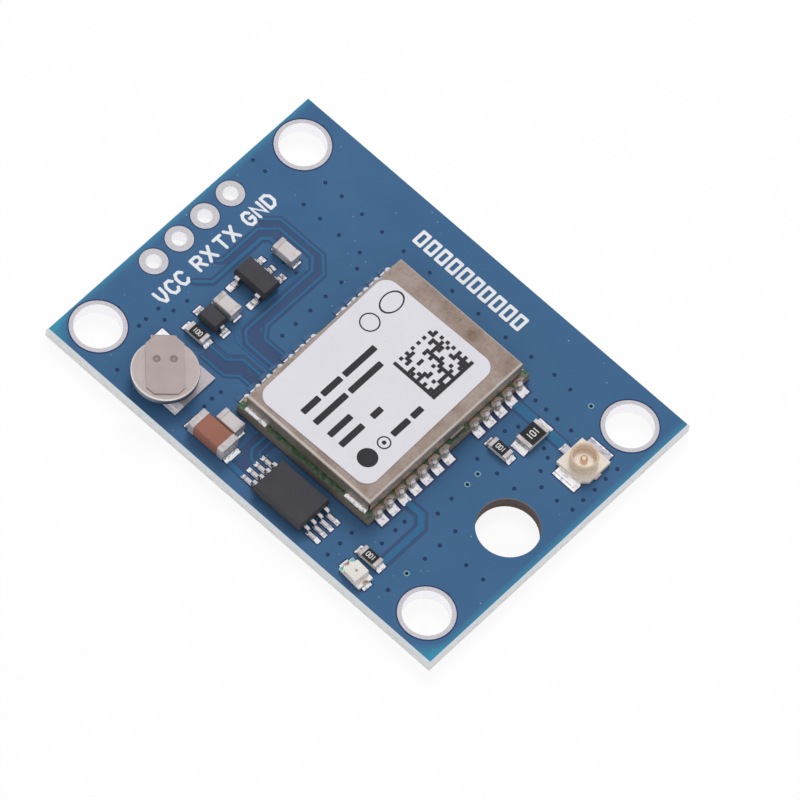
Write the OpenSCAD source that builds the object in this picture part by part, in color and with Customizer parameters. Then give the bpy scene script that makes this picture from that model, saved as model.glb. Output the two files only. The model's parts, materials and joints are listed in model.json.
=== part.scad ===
// Satellite positioning receiver board with its shielded receiver, backup cell and coax socket.
// Millimetres, +Z up. The origin is the centre of the outline on the board's underside.
// X runs along the long side, from the pin row towards the coax socket.

/* [Board] */
// Length of the board along X
board_l = 35.6; // [35.4:0.1:37]
// Width of the board along Y
board_w = 26; // [25.8:0.1:27]
// Thickness of the laminate
board_t = 1.2; // [0.8:0.1:1.6]
// Width of the bevel that the scored edge leaves
score_w = 0.12; // [0.06:0.02:0.16]
// Depth of the bevel that the scored edge leaves
score_d = 0.2; // [0.1:0.05:0.3]
// Shift of the drilled pattern from the outline along X
drill_x = -0.21; // [-0.22:0.01:0.2]
// Shift of the drilled pattern from the outline along Y
drill_y = -0.2; // [-0.3:0.01:0.2]
// Thickness of the copper pads set into both faces
pad_t = 0.05; // [0.03:0.01:0.08]
// Wall of a plated barrel
barrel_t = 0.05; // [0.03:0.01:0.08]

/* [Mounting holes] */
// Distance of the holes from the ends of the board, before the pattern's shift
mount_in_x = 2.56; // [2.4:0.02:2.8]
// Distance of the holes from the long sides of the board, before the pattern's shift
mount_in_y = 2.84; // [2.6:0.02:3]
// Finished diameter
mount_d = 3.4; // [3:0.1:3.6]
// Diameter of the plated ring
mount_ring_d = 4.02; // [3.9:0.02:4.2]

/* [Pin row] */
// Spacing of the pin holes along Y
pin_pitch = 2.54; // [2.5:0.02:2.6]
// Number of pin holes
pin_count = 4; // [2:1:5]
// Distance of the row from the end of the board, before the pattern's shift
pin_row_in = 1.72; // [1.6:0.02:1.9]
// Finished diameter
pin_d = 1.1; // [0.9:0.05:1.3]
// Diameter of the plated ring
pin_ring_d = 2.02; // [1.8:0.02:2.2]

/* [Cable hole] */
// Distance of the centre from the end of the board, before the pattern's shift
cable_in = 3.1; // [2.9:0.05:3.4]
// Place along Y, from the drilled pattern's centre
cable_y = -1.48; // [-2:0.02:-1.2]
// Diameter of the bare hole
cable_d = 4.5; // [4:0.1:4.8]

/* [Solder] */
// Thickness of the solder under a foot or terminal
film_t = 0.06; // [0.04:0.01:0.1]
// Thickness of the solder at a pad's outer edge
film_edge = 0.03; // [0.02:0.01:0.035]

/* [Receiver] */
// Centre along X
receiver_x = 1.68; // [1.5:0.02:1.9]
// Centre along Y
receiver_y = -0.38; // [-0.5:0.02:-0.2]
// Length along X
receiver_l = 12.2; // [12:0.1:12.4]
// Width along Y
receiver_w = 16; // [15.8:0.1:16.1]
// Thickness of the carrier board
carrier_t = 0.8; // [0.6:0.1:1]
// Height of the cover's top above the main board
receiver_h = 2.4; // [2.3:0.1:2.8]
// Spacing of the half-holes along both edges
edge_pitch = 1.1; // [1:0.02:1.12]
// Distance of the last half-hole from the middle
edge_end = 7; // [6.9:0.05:7.2]
// Half-holes in the long group
edge_long = 7; // [5:1:7]
// Half-holes in the short group
edge_short = 5; // [3:1:5]
// Diameter of a half-hole in the laminate
edge_hole_d = 0.64; // [0.56:0.04:0.7]
// Plating in a half-hole
edge_plate_t = 0.08; // [0.05:0.01:0.1]
// Width of the ring around a half-hole
edge_ring_w = 0.14; // [0.1:0.02:0.18]
// Length of the solder pad outside the carrier
edge_pad_out = 0.7; // [0.5:0.05:0.8]
// Length of the solder pad under the carrier
edge_pad_in = 0.8; // [0.5:0.05:1]
// Width of a solder pad
edge_pad_w = 0.76; // [0.6:0.02:0.8]
// Height that the solder climbs up the edge of the carrier
edge_climb = 0.3; // [0.2:0.05:0.5]
// Height of the solder bead in each half hole
edge_bead_h = 0.82; // [0.7:0.02:0.84]
// Rounding of the bead's top
edge_bead_r = 0.17; // [0.1:0.01:0.17]

/* [Receiver insides] */
// Side of the square receiver chip
core_side = 6; // [5:0.5:7]
// Height of the receiver chip
core_h = 0.85; // [0.6:0.05:1]
// Length of the crystal oscillator
crystal_l = 2.5; // [2:0.1:3]
// Width of the crystal oscillator
crystal_w = 2; // [1.6:0.1:2.2]
// Height of the crystal oscillator
crystal_h = 0.8; // [0.6:0.05:1]
// Length of the aerial filter
filter_l = 1.4; // [1.2:0.1:1.8]
// Width of the aerial filter
filter_w = 1.1; // [0.9:0.1:1.3]
// Height of the aerial filter
filter_h = 0.5; // [0.4:0.05:0.7]
// Length of a small passive chip
passive_l = 1; // [0.8:0.05:1.1]
// Width and height of a small passive chip
passive_w = 0.5; // [0.4:0.05:0.6]
// Number of small passive chips in the row
passive_count = 8; // [4:1:8]
// Spacing of the small passive chips
passive_pitch = 1.1; // [0.8:0.05:1.15]

/* [Shield] */
// Length of the cover along X
shield_l = 11.4; // [11.2:0.1:11.6]
// Width of the cover along Y
shield_w = 15.3; // [15.1:0.1:15.4]
// Sheet thickness
shield_t = 0.15; // [0.1:0.01:0.2]
// Outer radius of the top bends
shield_r = 0.4; // [0.3:0.05:0.5]
// Width of the slit at each corner
shield_slit = 0.12; // [0.08:0.02:0.16]
// Gap under the lifted stretches of the skirt
skirt_lift = 0.22; // [0.15:0.01:0.3]
// Length of the feet at the ends of the short sides
foot_l = 2.2; // [1.6:0.1:3]
// Length of the foot in the middle of the pad sides
mid_foot_l = 1.6; // [1:0.1:1.8]
// Height of the solder along a foot
foot_climb = 0.24; // [0.15:0.01:0.3]
// Width of the solder along a foot
foot_solder_w = 0.26; // [0.18:0.01:0.28]

/* [Label] */
// Length along X
label_l = 10.1; // [9.6:0.1:10.2]
// Width along Y
label_w = 13.1; // [12.6:0.1:13.3]
// Thickness
label_t = 0.08; // [0.05:0.01:0.12]
// Corner radius
label_r = 1; // [0.6:0.1:1.4]
// Shift from the cover's centre along X
label_x = -0.28; // [-0.3:0.02:0.3]
// Shift from the cover's centre along Y
label_y = -0.62; // [-0.7:0.02:0.7]
// Turn of the label
label_turn = 1.2; // [0:0.1:1.5]

/* [Leaded chips] */
// Inside radius of a lead's bends
lead_bend = 0.06; // [0.04:0.01:0.08]
// Gap between a body and its feet's plane
stand_off = 0.05; // [0.02:0.01:0.08]
// Width of the sloped faces on a moulded body
mould_draft = 0.1; // [0.05:0.01:0.14]
// Solder pad beyond the end of a foot
toe_out = 0.4; // [0.3:0.05:0.44]

/* [Regulator] */
// Centre along X
regulator_x = -10.26; // [-10.6:0.02:-10]
// Centre along Y
regulator_y = -0.23; // [-0.3:0.01:-0.1]
// Body length along X
regulator_l = 2.9; // [2.7:0.1:3.1]
// Body width along Y
regulator_w = 1.6; // [1.5:0.05:1.7]
// Body height
regulator_h = 1.1; // [0.9:0.05:1.2]
// Distance between the tips of opposite leads
regulator_span = 2.8; // [2.7:0.05:2.9]
// Spacing of the leads
regulator_pitch = 0.95; // [0.9:0.01:1]
// Width of a lead
regulator_lead_w = 0.4; // [0.3:0.02:0.5]
// Thickness of a lead
regulator_lead_t = 0.15; // [0.1:0.01:0.18]

/* [Diode] */
// Centre along X
diode_x = -10.3; // [-10.5:0.02:-10.1]
// Centre along Y
diode_y = -4.6; // [-4.66:0.01:-4.5]
// Body length along X
diode_l = 1.7; // [1.6:0.05:1.8]
// Body width along Y
diode_w = 1.25; // [1.15:0.05:1.3]
// Body height
diode_h = 0.9; // [0.8:0.05:1]
// Distance between the lead tips
diode_span = 2.5; // [2.45:0.05:2.7]
// Width of a lead
diode_lead_w = 0.34; // [0.28:0.02:0.4]
// Thickness of a lead
diode_lead_t = 0.13; // [0.1:0.01:0.15]
// Solder pad beyond the end of a lead
diode_toe = 0.2; // [0.15:0.01:0.3]
// Width of a solder pad
diode_pad_w = 0.74; // [0.6:0.02:0.8]

/* [Memory chip] */
// Centre along X
memory_x = 2.75; // [2.5:0.05:3]
// Centre along Y
memory_y = -10.7; // [-10.8:0.02:-10.6]
// Body length along X
memory_l = 4.4; // [4.3:0.05:4.5]
// Body width along Y
memory_w = 3; // [2.9:0.05:3.1]
// Body height
memory_h = 0.95; // [0.8:0.05:1]
// Distance between the tips of opposite leads
memory_span = 6.4; // [6.2:0.1:6.5]
// Spacing of the leads
memory_pitch = 0.65; // [0.6:0.01:0.68]
// Width of a lead
memory_lead_w = 0.26; // [0.2:0.02:0.3]
// Thickness of a lead
memory_lead_t = 0.13; // [0.1:0.01:0.15]
// Leads on each end
memory_leads_per_end = 4; // [2:1:4]

/* [Chip resistors] */
// Length of a small resistor
small_l = 1.6; // [1.5:0.05:1.7]
// Width of a small resistor
small_w = 0.8; // [0.7:0.05:0.85]
// Height of a small resistor
small_h = 0.45; // [0.4:0.05:0.5]
// Length of the aerial resistor
large_l = 2; // [1.9:0.05:2.1]
// Width of the aerial resistor
large_w = 1.25; // [1.15:0.05:1.3]
// Height of the aerial resistor
large_h = 0.55; // [0.5:0.05:0.6]
// Length of a resistor's end bands
band_l = 0.3; // [0.2:0.02:0.4]
// Thickness of a resistor's end metal and top coat
skin_t = 0.05; // [0.03:0.01:0.07]
// Solder pad beyond each end of a small resistor
small_pad_out = 0.34; // [0.25:0.01:0.4]
// Solder pad beyond each end of the aerial resistor
large_pad_out = 0.5; // [0.4:0.02:0.54]
// Supply resistor's centre along X
supply_res_x = -10.29; // [-10.4:0.01:-10.2]
// Supply resistor's centre along Y
supply_res_y = -6.04; // [-6.1:0.01:-5.95]
// Lamp resistor's centre along X
lamp_res_x = 9.61; // [9.5:0.01:9.7]
// Lamp resistor's centre along Y
lamp_res_y = -10.13; // [-10.16:0.01:-10]
// Signal resistor's centre along X
signal_res_x = 10.15; // [10.05:0.01:10.25]
// Signal resistor's centre along Y
signal_res_y = 2.2; // [2.1:0.01:2.25]
// Distance of the aerial resistor from the coax socket along X
aerial_res_gap = 3.82; // [3.75:0.01:3.9]
// Aerial resistor's centre along Y
aerial_res_y = 4.53; // [4.52:0.01:4.65]

/* [Chip capacitors] */
// Length of a grey capacitor
grey_l = 1.75; // [1.65:0.05:1.8]
// Width of a grey capacitor
grey_w = 1.08; // [0.98:0.02:1.12]
// Height of a grey capacitor
grey_h = 0.9; // [0.8:0.05:1]
// Length of the bulk capacitor
bulk_l = 3.2; // [3:0.1:3.3]
// Width of the bulk capacitor
bulk_w = 1.6; // [1.5:0.05:1.65]
// Height of the bulk capacitor
bulk_h = 1.25; // [1.1:0.05:1.4]
// Length of a grey capacitor's end metal
grey_band = 0.34; // [0.25:0.01:0.4]
// Length of the bulk capacitor's end metal
bulk_band = 0.5; // [0.4:0.02:0.6]
// Thickness of the end metal
cap_metal_t = 0.04; // [0.03:0.01:0.06]
// Rounding of the long edges
cap_edge_r = 0.12; // [0.08:0.01:0.16]
// Width of a grey capacitor's solder pads
grey_pad_w = 0.76; // [0.7:0.02:0.9]
// Solder pad beyond each end of a grey capacitor
grey_pad_out = 0.2; // [0.15:0.01:0.25]
// Solder pad beyond each end of the bulk capacitor
bulk_pad_out = 0.42; // [0.35:0.01:0.45]
// Output capacitor's centre along X
output_cap_x = -10.28; // [-10.4:0.01:-10.2]
// Output capacitor's centre along Y
output_cap_y = 2.78; // [2.72:0.01:2.9]
// Input capacitor's centre along X
input_cap_x = -10.26; // [-10.35:0.01:-10.2]
// Input capacitor's centre along Y
input_cap_y = -3.17; // [-3.2:0.01:-3.1]
// Bulk capacitor's centre along X
bulk_cap_x = -4.1; // [-4.2:0.01:-4.05]
// Bulk capacitor's centre along Y
bulk_cap_y = -11.1; // [-11.15:0.01:-11.05]
// Receiver capacitor's centre along X
receiver_cap_x = -3.94; // [-4:0.01:-3.9]
// Receiver capacitor's centre along Y
receiver_cap_y = -9.55; // [-9.56:0.01:-9.45]

/* [Lamp] */
// Centre along X
lamp_x = 9.74; // [9.65:0.01:9.8]
// Centre along Y
lamp_y = -11.72; // [-11.8:0.01:-11.7]
// Turn of the lamp on its pads
lamp_turn = -4.5; // [-5:0.5:5]
// Length
lamp_l = 2; // [1.9:0.05:2.1]
// Width
lamp_w = 1.25; // [1.1:0.05:1.3]
// Thickness of the base
lamp_base_t = 0.3; // [0.25:0.01:0.35]
// Height of the lens above the base
lamp_lens_h = 0.4; // [0.3:0.05:0.5]
// Length of the lens at its foot
lamp_lens_l = 1.3; // [1.2:0.05:1.4]
// Slope of the lens's ends
lamp_lens_draft = 0.08; // [0.04:0.02:0.12]
// Diameter of the notch in each end
lamp_notch_d = 0.5; // [0.4:0.05:0.6]
// Side of the square light chip
lamp_die = 0.3; // [0.2:0.02:0.36]
// Height of the light chip
lamp_die_h = 0.12; // [0.08:0.01:0.16]

/* [Backup cell] */
// Centre along X
cell_x = -9.48; // [-9.55:0.01:-9.4]
// Centre along Y
cell_y = -10.19; // [-10.25:0.01:-10.1]
// Diameter of the can
cell_d = 4.75; // [4.6:0.05:4.8]
// Height of the cell between its tabs
cell_h = 1.4; // [1.2:0.05:1.6]
// Rounding of the can's top edge
cell_top_r = 0.15; // [0.1:0.01:0.2]
// Width of the can's crimped slope
cell_crimp_w = 0.6; // [0.5:0.01:0.62]
// Height of the can's crimped slope
cell_crimp_h = 0.75; // [0.6:0.05:0.8]
// Diameter of the cap underneath
cell_cap_d = 3.2; // [3.1:0.05:3.3]
// Height of the cap and its seal
cell_cap_h = 0.3; // [0.22:0.01:0.35]
// Wall of the seal around the cap
cell_seal_t = 0.14; // [0.1:0.01:0.18]
// Thickness of the tabs
tab_t = 0.12; // [0.08:0.01:0.15]
// Width of the top tab
tab_w = 2.65; // [2.4:0.05:2.8]
// Width of the top tab's narrowed ends
tab_end_w = 1.62; // [1.4:0.02:1.8]
// Direction of the top tab's foot
tab_turn = 135; // [130:1:140]
// Distance of the top tab's free end from the cell's axis
tab_back = 1.91; // [1.8:0.01:2]
// Distance of the top tab's foot end from the cell's axis
tab_front = 3.4; // [3.3:0.05:3.5]
// Length of the narrowing at each end
tab_taper = 0.5; // [0.3:0.02:0.6]
// Diameter of the weld dents
weld_d = 0.56; // [0.4:0.02:0.6]
// Depth of the weld dents
weld_depth = 0.05; // [0.03:0.01:0.06]
// Spacing of the weld dents
weld_pitch = 1.16; // [1:0.02:1.2]
// Distance of the weld dents from the cell's axis
weld_u = 0.76; // [0.6:0.02:0.9]
// Length of the bottom tab along Y
low_tab_l = 3.62; // [3.5:0.02:3.8]
// Width of the bottom tab along X
low_tab_w = 2.7; // [2.5:0.05:2.9]
// Shift of the bottom tab from the cell's axis along X
low_tab_x = 1.03; // [0.9:0.01:1.1]
// Shift of the bottom tab from the cell's axis along Y
low_tab_y = 0.75; // [0.7:0.01:0.8]
// Side of the top tab's square pad
tab_pad = 1.3; // [1.2:0.05:1.4]
// Distance of the square pad's centre from the end of the foot
tab_pad_in = 0.32; // [0.2:0.02:0.5]
// Length of the bottom tab's pad along X
low_pad_l = 1.3; // [1.2:0.05:1.4]
// Width of the bottom tab's pad along Y
low_pad_w = 0.9; // [0.8:0.05:1]
// Reach of the bottom tab's pad beyond the tab
low_pad_out = 0.34; // [0.2:0.02:0.4]

/* [Coax socket] */
// Distance of the centre from the end of the board
coax_in = 3.02; // [2.95:0.01:3.1]
// Centre along Y
coax_y = 5.47; // [5.4:0.01:5.55]
// Side of the square base
coax_side = 2.6; // [2.5:0.05:2.7]
// Height of the base
coax_base_h = 0.4; // [0.35:0.05:0.5]
// Height of the floor inside the ring
coax_well_h = 0.62; // [0.5:0.02:0.7]
// Chamfer on the marked corner of the base
coax_chamfer = 0.5; // [0.3:0.05:0.6]
// Outer diameter of the ring
coax_ring_d = 2; // [1.9:0.05:2.1]
// Wall of the ring
coax_ring_t = 0.16; // [0.12:0.01:0.2]
// Depth of the ring's foot in the base
coax_sink = 0.1; // [0.06:0.01:0.14]
// Width of the straps that join the ring to its feet
coax_strap_w = 1; // [0.8:0.05:1.1]
// Lap of a strap on the ring
coax_lap = 0.04; // [0.02:0.01:0.05]
// Bevel on the ring's lip
coax_lip = 0.04; // [0.02:0.01:0.06]
// Height of the ring's lip above the pads
coax_h = 1.25; // [1.1:0.05:1.4]
// Diameter of the centre pin
coax_pin_d = 0.5; // [0.4:0.02:0.6]
// Height of the centre pin's tip above the pads
coax_pin_h = 1.05; // [0.9:0.05:1.08]
// Thickness of the sheet metal in the socket
coax_sheet_t = 0.14; // [0.1:0.01:0.16]
// Distance between the tips of the two earth feet
coax_span = 3.6; // [3.4:0.05:3.7]
// Length of each earth foot along X
coax_foot_l = 1.9; // [1.6:0.05:2]
// Width of the signal foot and of the end tongue
coax_tail_w = 0.56; // [0.5:0.02:0.6]
// Reach of the signal foot from the socket's axis
coax_tail = 1.75; // [1.7:0.01:1.8]
// Reach of the end tongue from the socket's axis
coax_tongue = 1.42; // [1.38:0.01:1.5]
// Solder pad beyond the end of each foot
coax_pad_out = 0.2; // [0.12:0.02:0.3]

/* [Hidden] */
$fn = 48;

// Overcut that keeps cutting tools clear of the faces they open
cut = 0.1;
// Straight pieces in a quarter bend and in a solder curve
bend_steps = 5;
// Plane on which terminals and feet stand
seat_z = board_t + film_t;
// Top of the receiver's carrier board
carrier_top = seat_z + carrier_t;
// Height of the cover from the carrier to its top
shield_h = board_t + receiver_h - carrier_top;
// Middle of the space between the two groups of half-holes
edge_mid = (edge_long - edge_short) * edge_pitch / 2;
// Places of the half-holes along an edge
edge_places = concat(
    [for (i = [0 : edge_long - 1]) -edge_end + i * edge_pitch],
    [for (i = [0 : edge_short - 1]) edge_end - i * edge_pitch]);
// Places of the mounting holes
mount_places = [for (sx = [-1, 1], sy = [-1, 1])
    [drill_x + sx * (board_l / 2 - mount_in_x), drill_y + sy * (board_w / 2 - mount_in_y)]];
// Places of the pin holes
pin_places = [for (i = [0 : pin_count - 1])
    [drill_x + pin_row_in - board_l / 2, drill_y + (i - (pin_count - 1) / 2) * pin_pitch]];
// Place of the cable hole
cable_place = [drill_x + board_l / 2 - cable_in, drill_y + cable_y];
// Places of the coax socket and of the aerial resistor beside it
coax_x = board_l / 2 - coax_in;
aerial_res_x = coax_x - aerial_res_gap;
// Underside of the cell and top of the cell
cell_z = seat_z + tab_t;
cell_top = cell_z + cell_h;
// Step of the cell's crimped edge and of its seal above the cap's face
cell_step = cell_cap_h / 3;
// Radius of the ball that presses a weld dent
weld_r = (weld_d * weld_d / 4 + weld_depth * weld_depth) / (2 * weld_depth);
// Length of the flat shoulder of a short lead
short_shoulder = 0.04;
// Widening of a pad on each side of its lead
pad_margin = 0.05;
// Length of the cut that parts two walls of the cover at a corner
slit_l = 1;
// Places inside the receiver, from its centre
core_at = [-receiver_l / 8, -receiver_w / 6];
crystal_at = [-receiver_l / 8, receiver_w / 5];
filter_at = [receiver_l / 4, receiver_w / 5];
passives_at = [receiver_l * 0.3, -receiver_w / 6];
// Height of the solder up the ends of the chips
small_climb = small_h / 2;
large_climb = large_h * 0.7;
grey_climb = grey_h / 4;
bulk_climb = bulk_h / 4;
lamp_climb = lamp_base_t / 2;
// Colours
mask_blue = [0.26, 0.41, 0.57];
tin = [0.85, 0.84, 0.83];
mould_black = [0.25, 0.24, 0.25];
ceramic_white = [0.9, 0.89, 0.86];
gold = [0.87, 0.72, 0.45];
steel = [0.73, 0.69, 0.67];
grey_ceramic = [0.8, 0.77, 0.76];
brown_ceramic = [0.62, 0.43, 0.37];

// Points of an arc around a centre
function arc(centre, r, from, to) =
    [for (i = [0 : bend_steps]) let (a = from + (to - from) * i / bend_steps) centre + r * [cos(a), sin(a)]];

// Hollow curve of solder that runs from a pad's edge up a wall
function meniscus(wall, outer, low, high) =
    [for (i = [0 : bend_steps]) let (a = 90 * i / bend_steps)
        [outer - (outer - wall) * sin(a), low + (high - low) * (1 - cos(a))]];

// Upright outline in X and Z, drawn out along Y and centred
module along_y(length) {
    translate([0, length / 2, 0]) rotate([90, 0, 0]) linear_extrude(length) children();
}

// Upright outline in Y and Z, drawn out along X and centred
module along_x(length) {
    translate([-length / 2, 0, 0]) rotate([90, 0, 90]) linear_extrude(length) children();
}

// Box centred in plan that stands on Z = 0
module block(l, w, h) {
    translate([-l / 2, -w / 2, 0]) cube([l, w, h]);
}

// Rectangle with round corners, centred
module round_rect(l, w, r) {
    square([l - 2 * r, w], center = true);
    square([l, w - 2 * r], center = true);
    for (sx = [-1, 1], sy = [-1, 1]) translate([sx * (l / 2 - r), sy * (w / 2 - r)]) circle(r);
}

// Section of a slab whose upper and lower edges are bevelled
module bevel_section(size, t, bevel, depth) {
    half = size / 2;
    polygon([
        [-half + bevel, 0], [half - bevel, 0], [half, depth], [half, t - depth],
        [half - bevel, t], [-half + bevel, t], [-half, t - depth], [-half, depth]]);
}

// Slab bevelled on all four sides
module bevel_slab(l, w, t, bevel, depth) {
    intersection() {
        along_y(w) bevel_section(l, t, bevel, depth);
        along_x(l) bevel_section(w, t, bevel, depth);
    }
}

// Solid of a plated hole before its bore is drilled
module plating_blank(bore_d, ring_d) {
    cylinder(d = bore_d + 2 * barrel_t, h = board_t);
    cylinder(d = ring_d, h = pad_t);
    translate([0, 0, board_t - pad_t]) cylinder(d = ring_d, h = pad_t);
}

// Barrel and two rings of a plated hole
module plated_hole(bore_d, ring_d) {
    difference() {
        plating_blank(bore_d, ring_d);
        translate([0, 0, -cut]) cylinder(d = bore_d, h = board_t + 2 * cut);
    }
}

// Solder under a foot and up its end: from inner to outer, against a wall
module solder_joint(inner, wall, outer, width, climb) {
    along_y(width) polygon(concat(
        [[inner, 0], [outer, 0]],
        meniscus(wall, outer, film_edge, film_t + climb),
        [[wall, film_t], [inner, film_t]]));
}

// Bent lead that leaves a body at shoulder height and ends in a flat foot
module gull_lead(shoulder_z, shoulder_l, reach, t, width) {
    outer_r = lead_bend + t;
    upper = [shoulder_l, shoulder_z - outer_r];
    lower = [shoulder_l + outer_r + lead_bend, t + lead_bend];
    along_y(width) polygon(concat(
        [[0, shoulder_z]],
        arc(upper, outer_r, 90, 0),
        arc(lower, lead_bend, 180, 270),
        [[reach, t], [reach, 0]],
        arc(lower, outer_r, 270, 180),
        arc(upper, lead_bend, 0, 90),
        [[0, shoulder_z - t]]));
}

// Moulded body with sloped faces and a flat band that the leads leave from
module moulded_body(l, w, h, band) {
    bevel_slab(l, w, h, mould_draft, (h - band) / 2);
}

// Height of a lead's upper face above the feet, for a moulded body of this height
function shoulder_at(h, t) = stand_off + (h + t) / 2;

// Copies a shape to both ends of X
module both_ends() {
    for (turn = [0, 180]) rotate(turn) children();
}

// Ceramic block of a chip resistor
module resistor_body(l, w, h) {
    color(ceramic_white) translate([0, 0, skin_t]) block(l - 2 * skin_t, w, h - 2 * skin_t);
}

// Dark coat on a chip resistor's upper face
module resistor_coat(l, w, h) {
    color(mould_black) translate([0, 0, h - skin_t]) block(l - 2 * band_l, w, skin_t);
}

// Folded metal ends of a chip resistor
module resistor_ends(l, w, h) {
    color(tin) both_ends() along_y(w) difference() {
        translate([l / 2 - band_l, 0]) square([band_l, h]);
        translate([l / 2 - band_l - cut, skin_t]) square([band_l + cut - skin_t, h - 2 * skin_t]);
    }
}

// Bar with rounded long edges that stands on Z = 0
module round_bar(l, w, h, r) {
    along_x(l) translate([0, h / 2]) round_rect(w, h, r);
}

// Ceramic block of a chip capacitor
module capacitor_body(l, w, h, tint) {
    inset = 2 * cap_metal_t;
    color(tint) translate([0, 0, cap_metal_t])
        round_bar(l - inset, w - inset, h - inset, cap_edge_r - cap_metal_t);
}

// Metal caps that wrap a chip capacitor's ends
module capacitor_ends(l, w, h, band) {
    inset = 2 * cap_metal_t;
    color(tin) both_ends() difference() {
        translate([(l - band) / 2, 0, 0]) round_bar(band, w, h, cap_edge_r);
        translate([-cap_metal_t / 2, 0, cap_metal_t])
            round_bar(l - cap_metal_t, w - inset, h - inset, cap_edge_r - cap_metal_t);
    }
}

// Solder at both ends of a chip
module chip_joints(l, band, pad_out, width, climb) {
    both_ends() solder_joint(l / 2 - band, l / 2, l / 2 + pad_out, width, climb);
}

// Section of a sheet cover: square foot, round upper corners
module cover_section(size, h, r, drop) {
    translate([-size / 2, -drop]) square([size, h - r + drop]);
    translate([-size / 2 + r, -drop]) square([size - 2 * r, h + drop]);
    for (side = [-1, 1]) translate([side * (size / 2 - r), h - r]) circle(r);
}

// Block with rounded upper edges that meet in mitred corners
module cover_block(l, w, h, r, drop) {
    intersection() {
        along_y(w) cover_section(l, h, r, drop);
        along_x(l) cover_section(w, h, r, drop);
    }
}

module circuit_board() {
    color(mask_blue) difference() {
        bevel_slab(board_l, board_w, board_t, score_w, score_d);
        for (p = mount_places) translate(p) plating_blank(mount_d, mount_ring_d);
        for (p = pin_places) translate(p) plating_blank(pin_d, pin_ring_d);
        translate([cable_place.x, cable_place.y, -cut]) cylinder(d = cable_d, h = board_t + 2 * cut);
    }
}

module mounting_hole_plating() {
    color(tin) for (p = mount_places) translate(p) plated_hole(mount_d, mount_ring_d);
}

module pin_hole_plating() {
    color(tin) for (p = pin_places) translate(p) plated_hole(pin_d, pin_ring_d);
}

// Puts a shape at each half-hole, with X pointing out of the carrier
module at_edge_holes() {
    for (side = [0, 180], y = edge_places)
        translate([receiver_x + cos(side) * receiver_l / 2, receiver_y + y, seat_z]) rotate(side) children();
}

module carrier_board() {
    color([0.2, 0.42, 0.3]) difference() {
        translate([receiver_x, receiver_y, seat_z]) block(receiver_l, receiver_w, carrier_t);
        at_edge_holes() translate([0, 0, -cut]) cylinder(d = edge_hole_d, h = carrier_t + 2 * cut);
    }
}

module edge_contacts() {
    ring_d = edge_hole_d + 2 * edge_ring_w;
    bore_d = edge_hole_d - 2 * edge_plate_t;
    color(gold) at_edge_holes() difference() {
        union() {
            cylinder(d = edge_hole_d, h = carrier_t);
            translate([0, 0, carrier_t]) cylinder(d = ring_d, h = pad_t);
        }
        translate([0, 0, -cut]) cylinder(d = bore_d, h = carrier_t + pad_t + 2 * cut);
        translate([0, -ring_d, -cut]) cube([ring_d, 2 * ring_d, carrier_t + pad_t + 2 * cut]);
    }
}

module edge_solder() {
    bore_d = edge_hole_d - 2 * edge_plate_t;
    bead_r = bore_d / 2;
    color(tin) at_edge_holes() {
        translate([0, 0, -film_t]) solder_joint(-edge_pad_in, 0, edge_pad_out, edge_pad_w, edge_climb);
        rotate_extrude() polygon(concat(
            [[0, 0], [bead_r, 0]],
            arc([bead_r - edge_bead_r, edge_bead_h - edge_bead_r], edge_bead_r, 0, 90),
            [[0, edge_bead_h]]));
    }
}

module shield_can() {
    lift_l = shield_l - 2 * foot_l;
    color([0.66, 0.61, 0.56]) translate([receiver_x, receiver_y, carrier_top]) difference() {
        cover_block(shield_l, shield_w, shield_h, shield_r, 0);
        cover_block(shield_l - 2 * shield_t, shield_w - 2 * shield_t, shield_h - shield_t,
            shield_r - shield_t, cut);
        for (sx = [-1, 1], sy = [-1, 1])
            translate([sx * shield_l / 2, sy * shield_w / 2, -cut]) rotate(45 * sx * sy)
                block(slit_l, shield_slit, shield_h - shield_r + cut);
        translate([0, 0, -cut]) block(lift_l, shield_w + 2 * cut, skirt_lift + cut);
        for (sx = [-1, 1], sy = [-1, 1]) {
            free_l = shield_w / 2 - sy * edge_mid - mid_foot_l / 2;
            translate([sx * shield_l / 2, sy * (shield_w - free_l) / 2, -cut])
                block(2 * shield_t + 2 * cut, free_l + cut, skirt_lift + cut);
        }
    }
}

// Solder along one foot of the cover, with X pointing away from the wall
module foot_solder(length) {
    along_y(length) polygon(concat(
        [[0, 0], [foot_solder_w, 0]],
        meniscus(0, foot_solder_w, film_edge, foot_climb)));
}

module shield_solder() {
    run_l = foot_l - 2 * shield_t;
    color(tin) translate([receiver_x, receiver_y, carrier_top]) {
        for (sx = [-1, 1], sy = [-1, 1])
            translate([sx * (shield_l - foot_l) / 2, sy * shield_w / 2, 0]) rotate(90 * sy)
                foot_solder(run_l);
        for (sx = [-1, 1])
            translate([sx * shield_l / 2, edge_mid, 0]) rotate(90 - 90 * sx)
                foot_solder(mid_foot_l - 2 * shield_t);
    }
}

module receiver_label() {
    color([0.88, 0.87, 0.91]) translate([receiver_x + label_x, receiver_y + label_y, board_t + receiver_h])
        rotate(label_turn) linear_extrude(label_t) round_rect(label_l, label_w, label_r);
}

// Places something on the carrier, from the receiver's centre
module on_carrier(place) {
    translate([receiver_x + place.x, receiver_y + place.y, carrier_top]) children();
}

module receiver_chip() {
    color(mould_black) on_carrier(core_at) block(core_side, core_side, core_h);
}

module receiver_crystal() {
    color(tin) on_carrier(crystal_at) block(crystal_l, crystal_w, crystal_h);
}

module aerial_filter() {
    color([0.8, 0.74, 0.6]) on_carrier(filter_at) block(filter_l, filter_w, filter_h);
}

module receiver_passives() {
    middle = (passive_count - 1) / 2;
    color([0.72, 0.6, 0.5]) for (i = [0 : passive_count - 1])
        on_carrier(passives_at + [0, (i - middle) * passive_pitch])
            block(passive_l, passive_w, passive_w);
}

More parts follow.
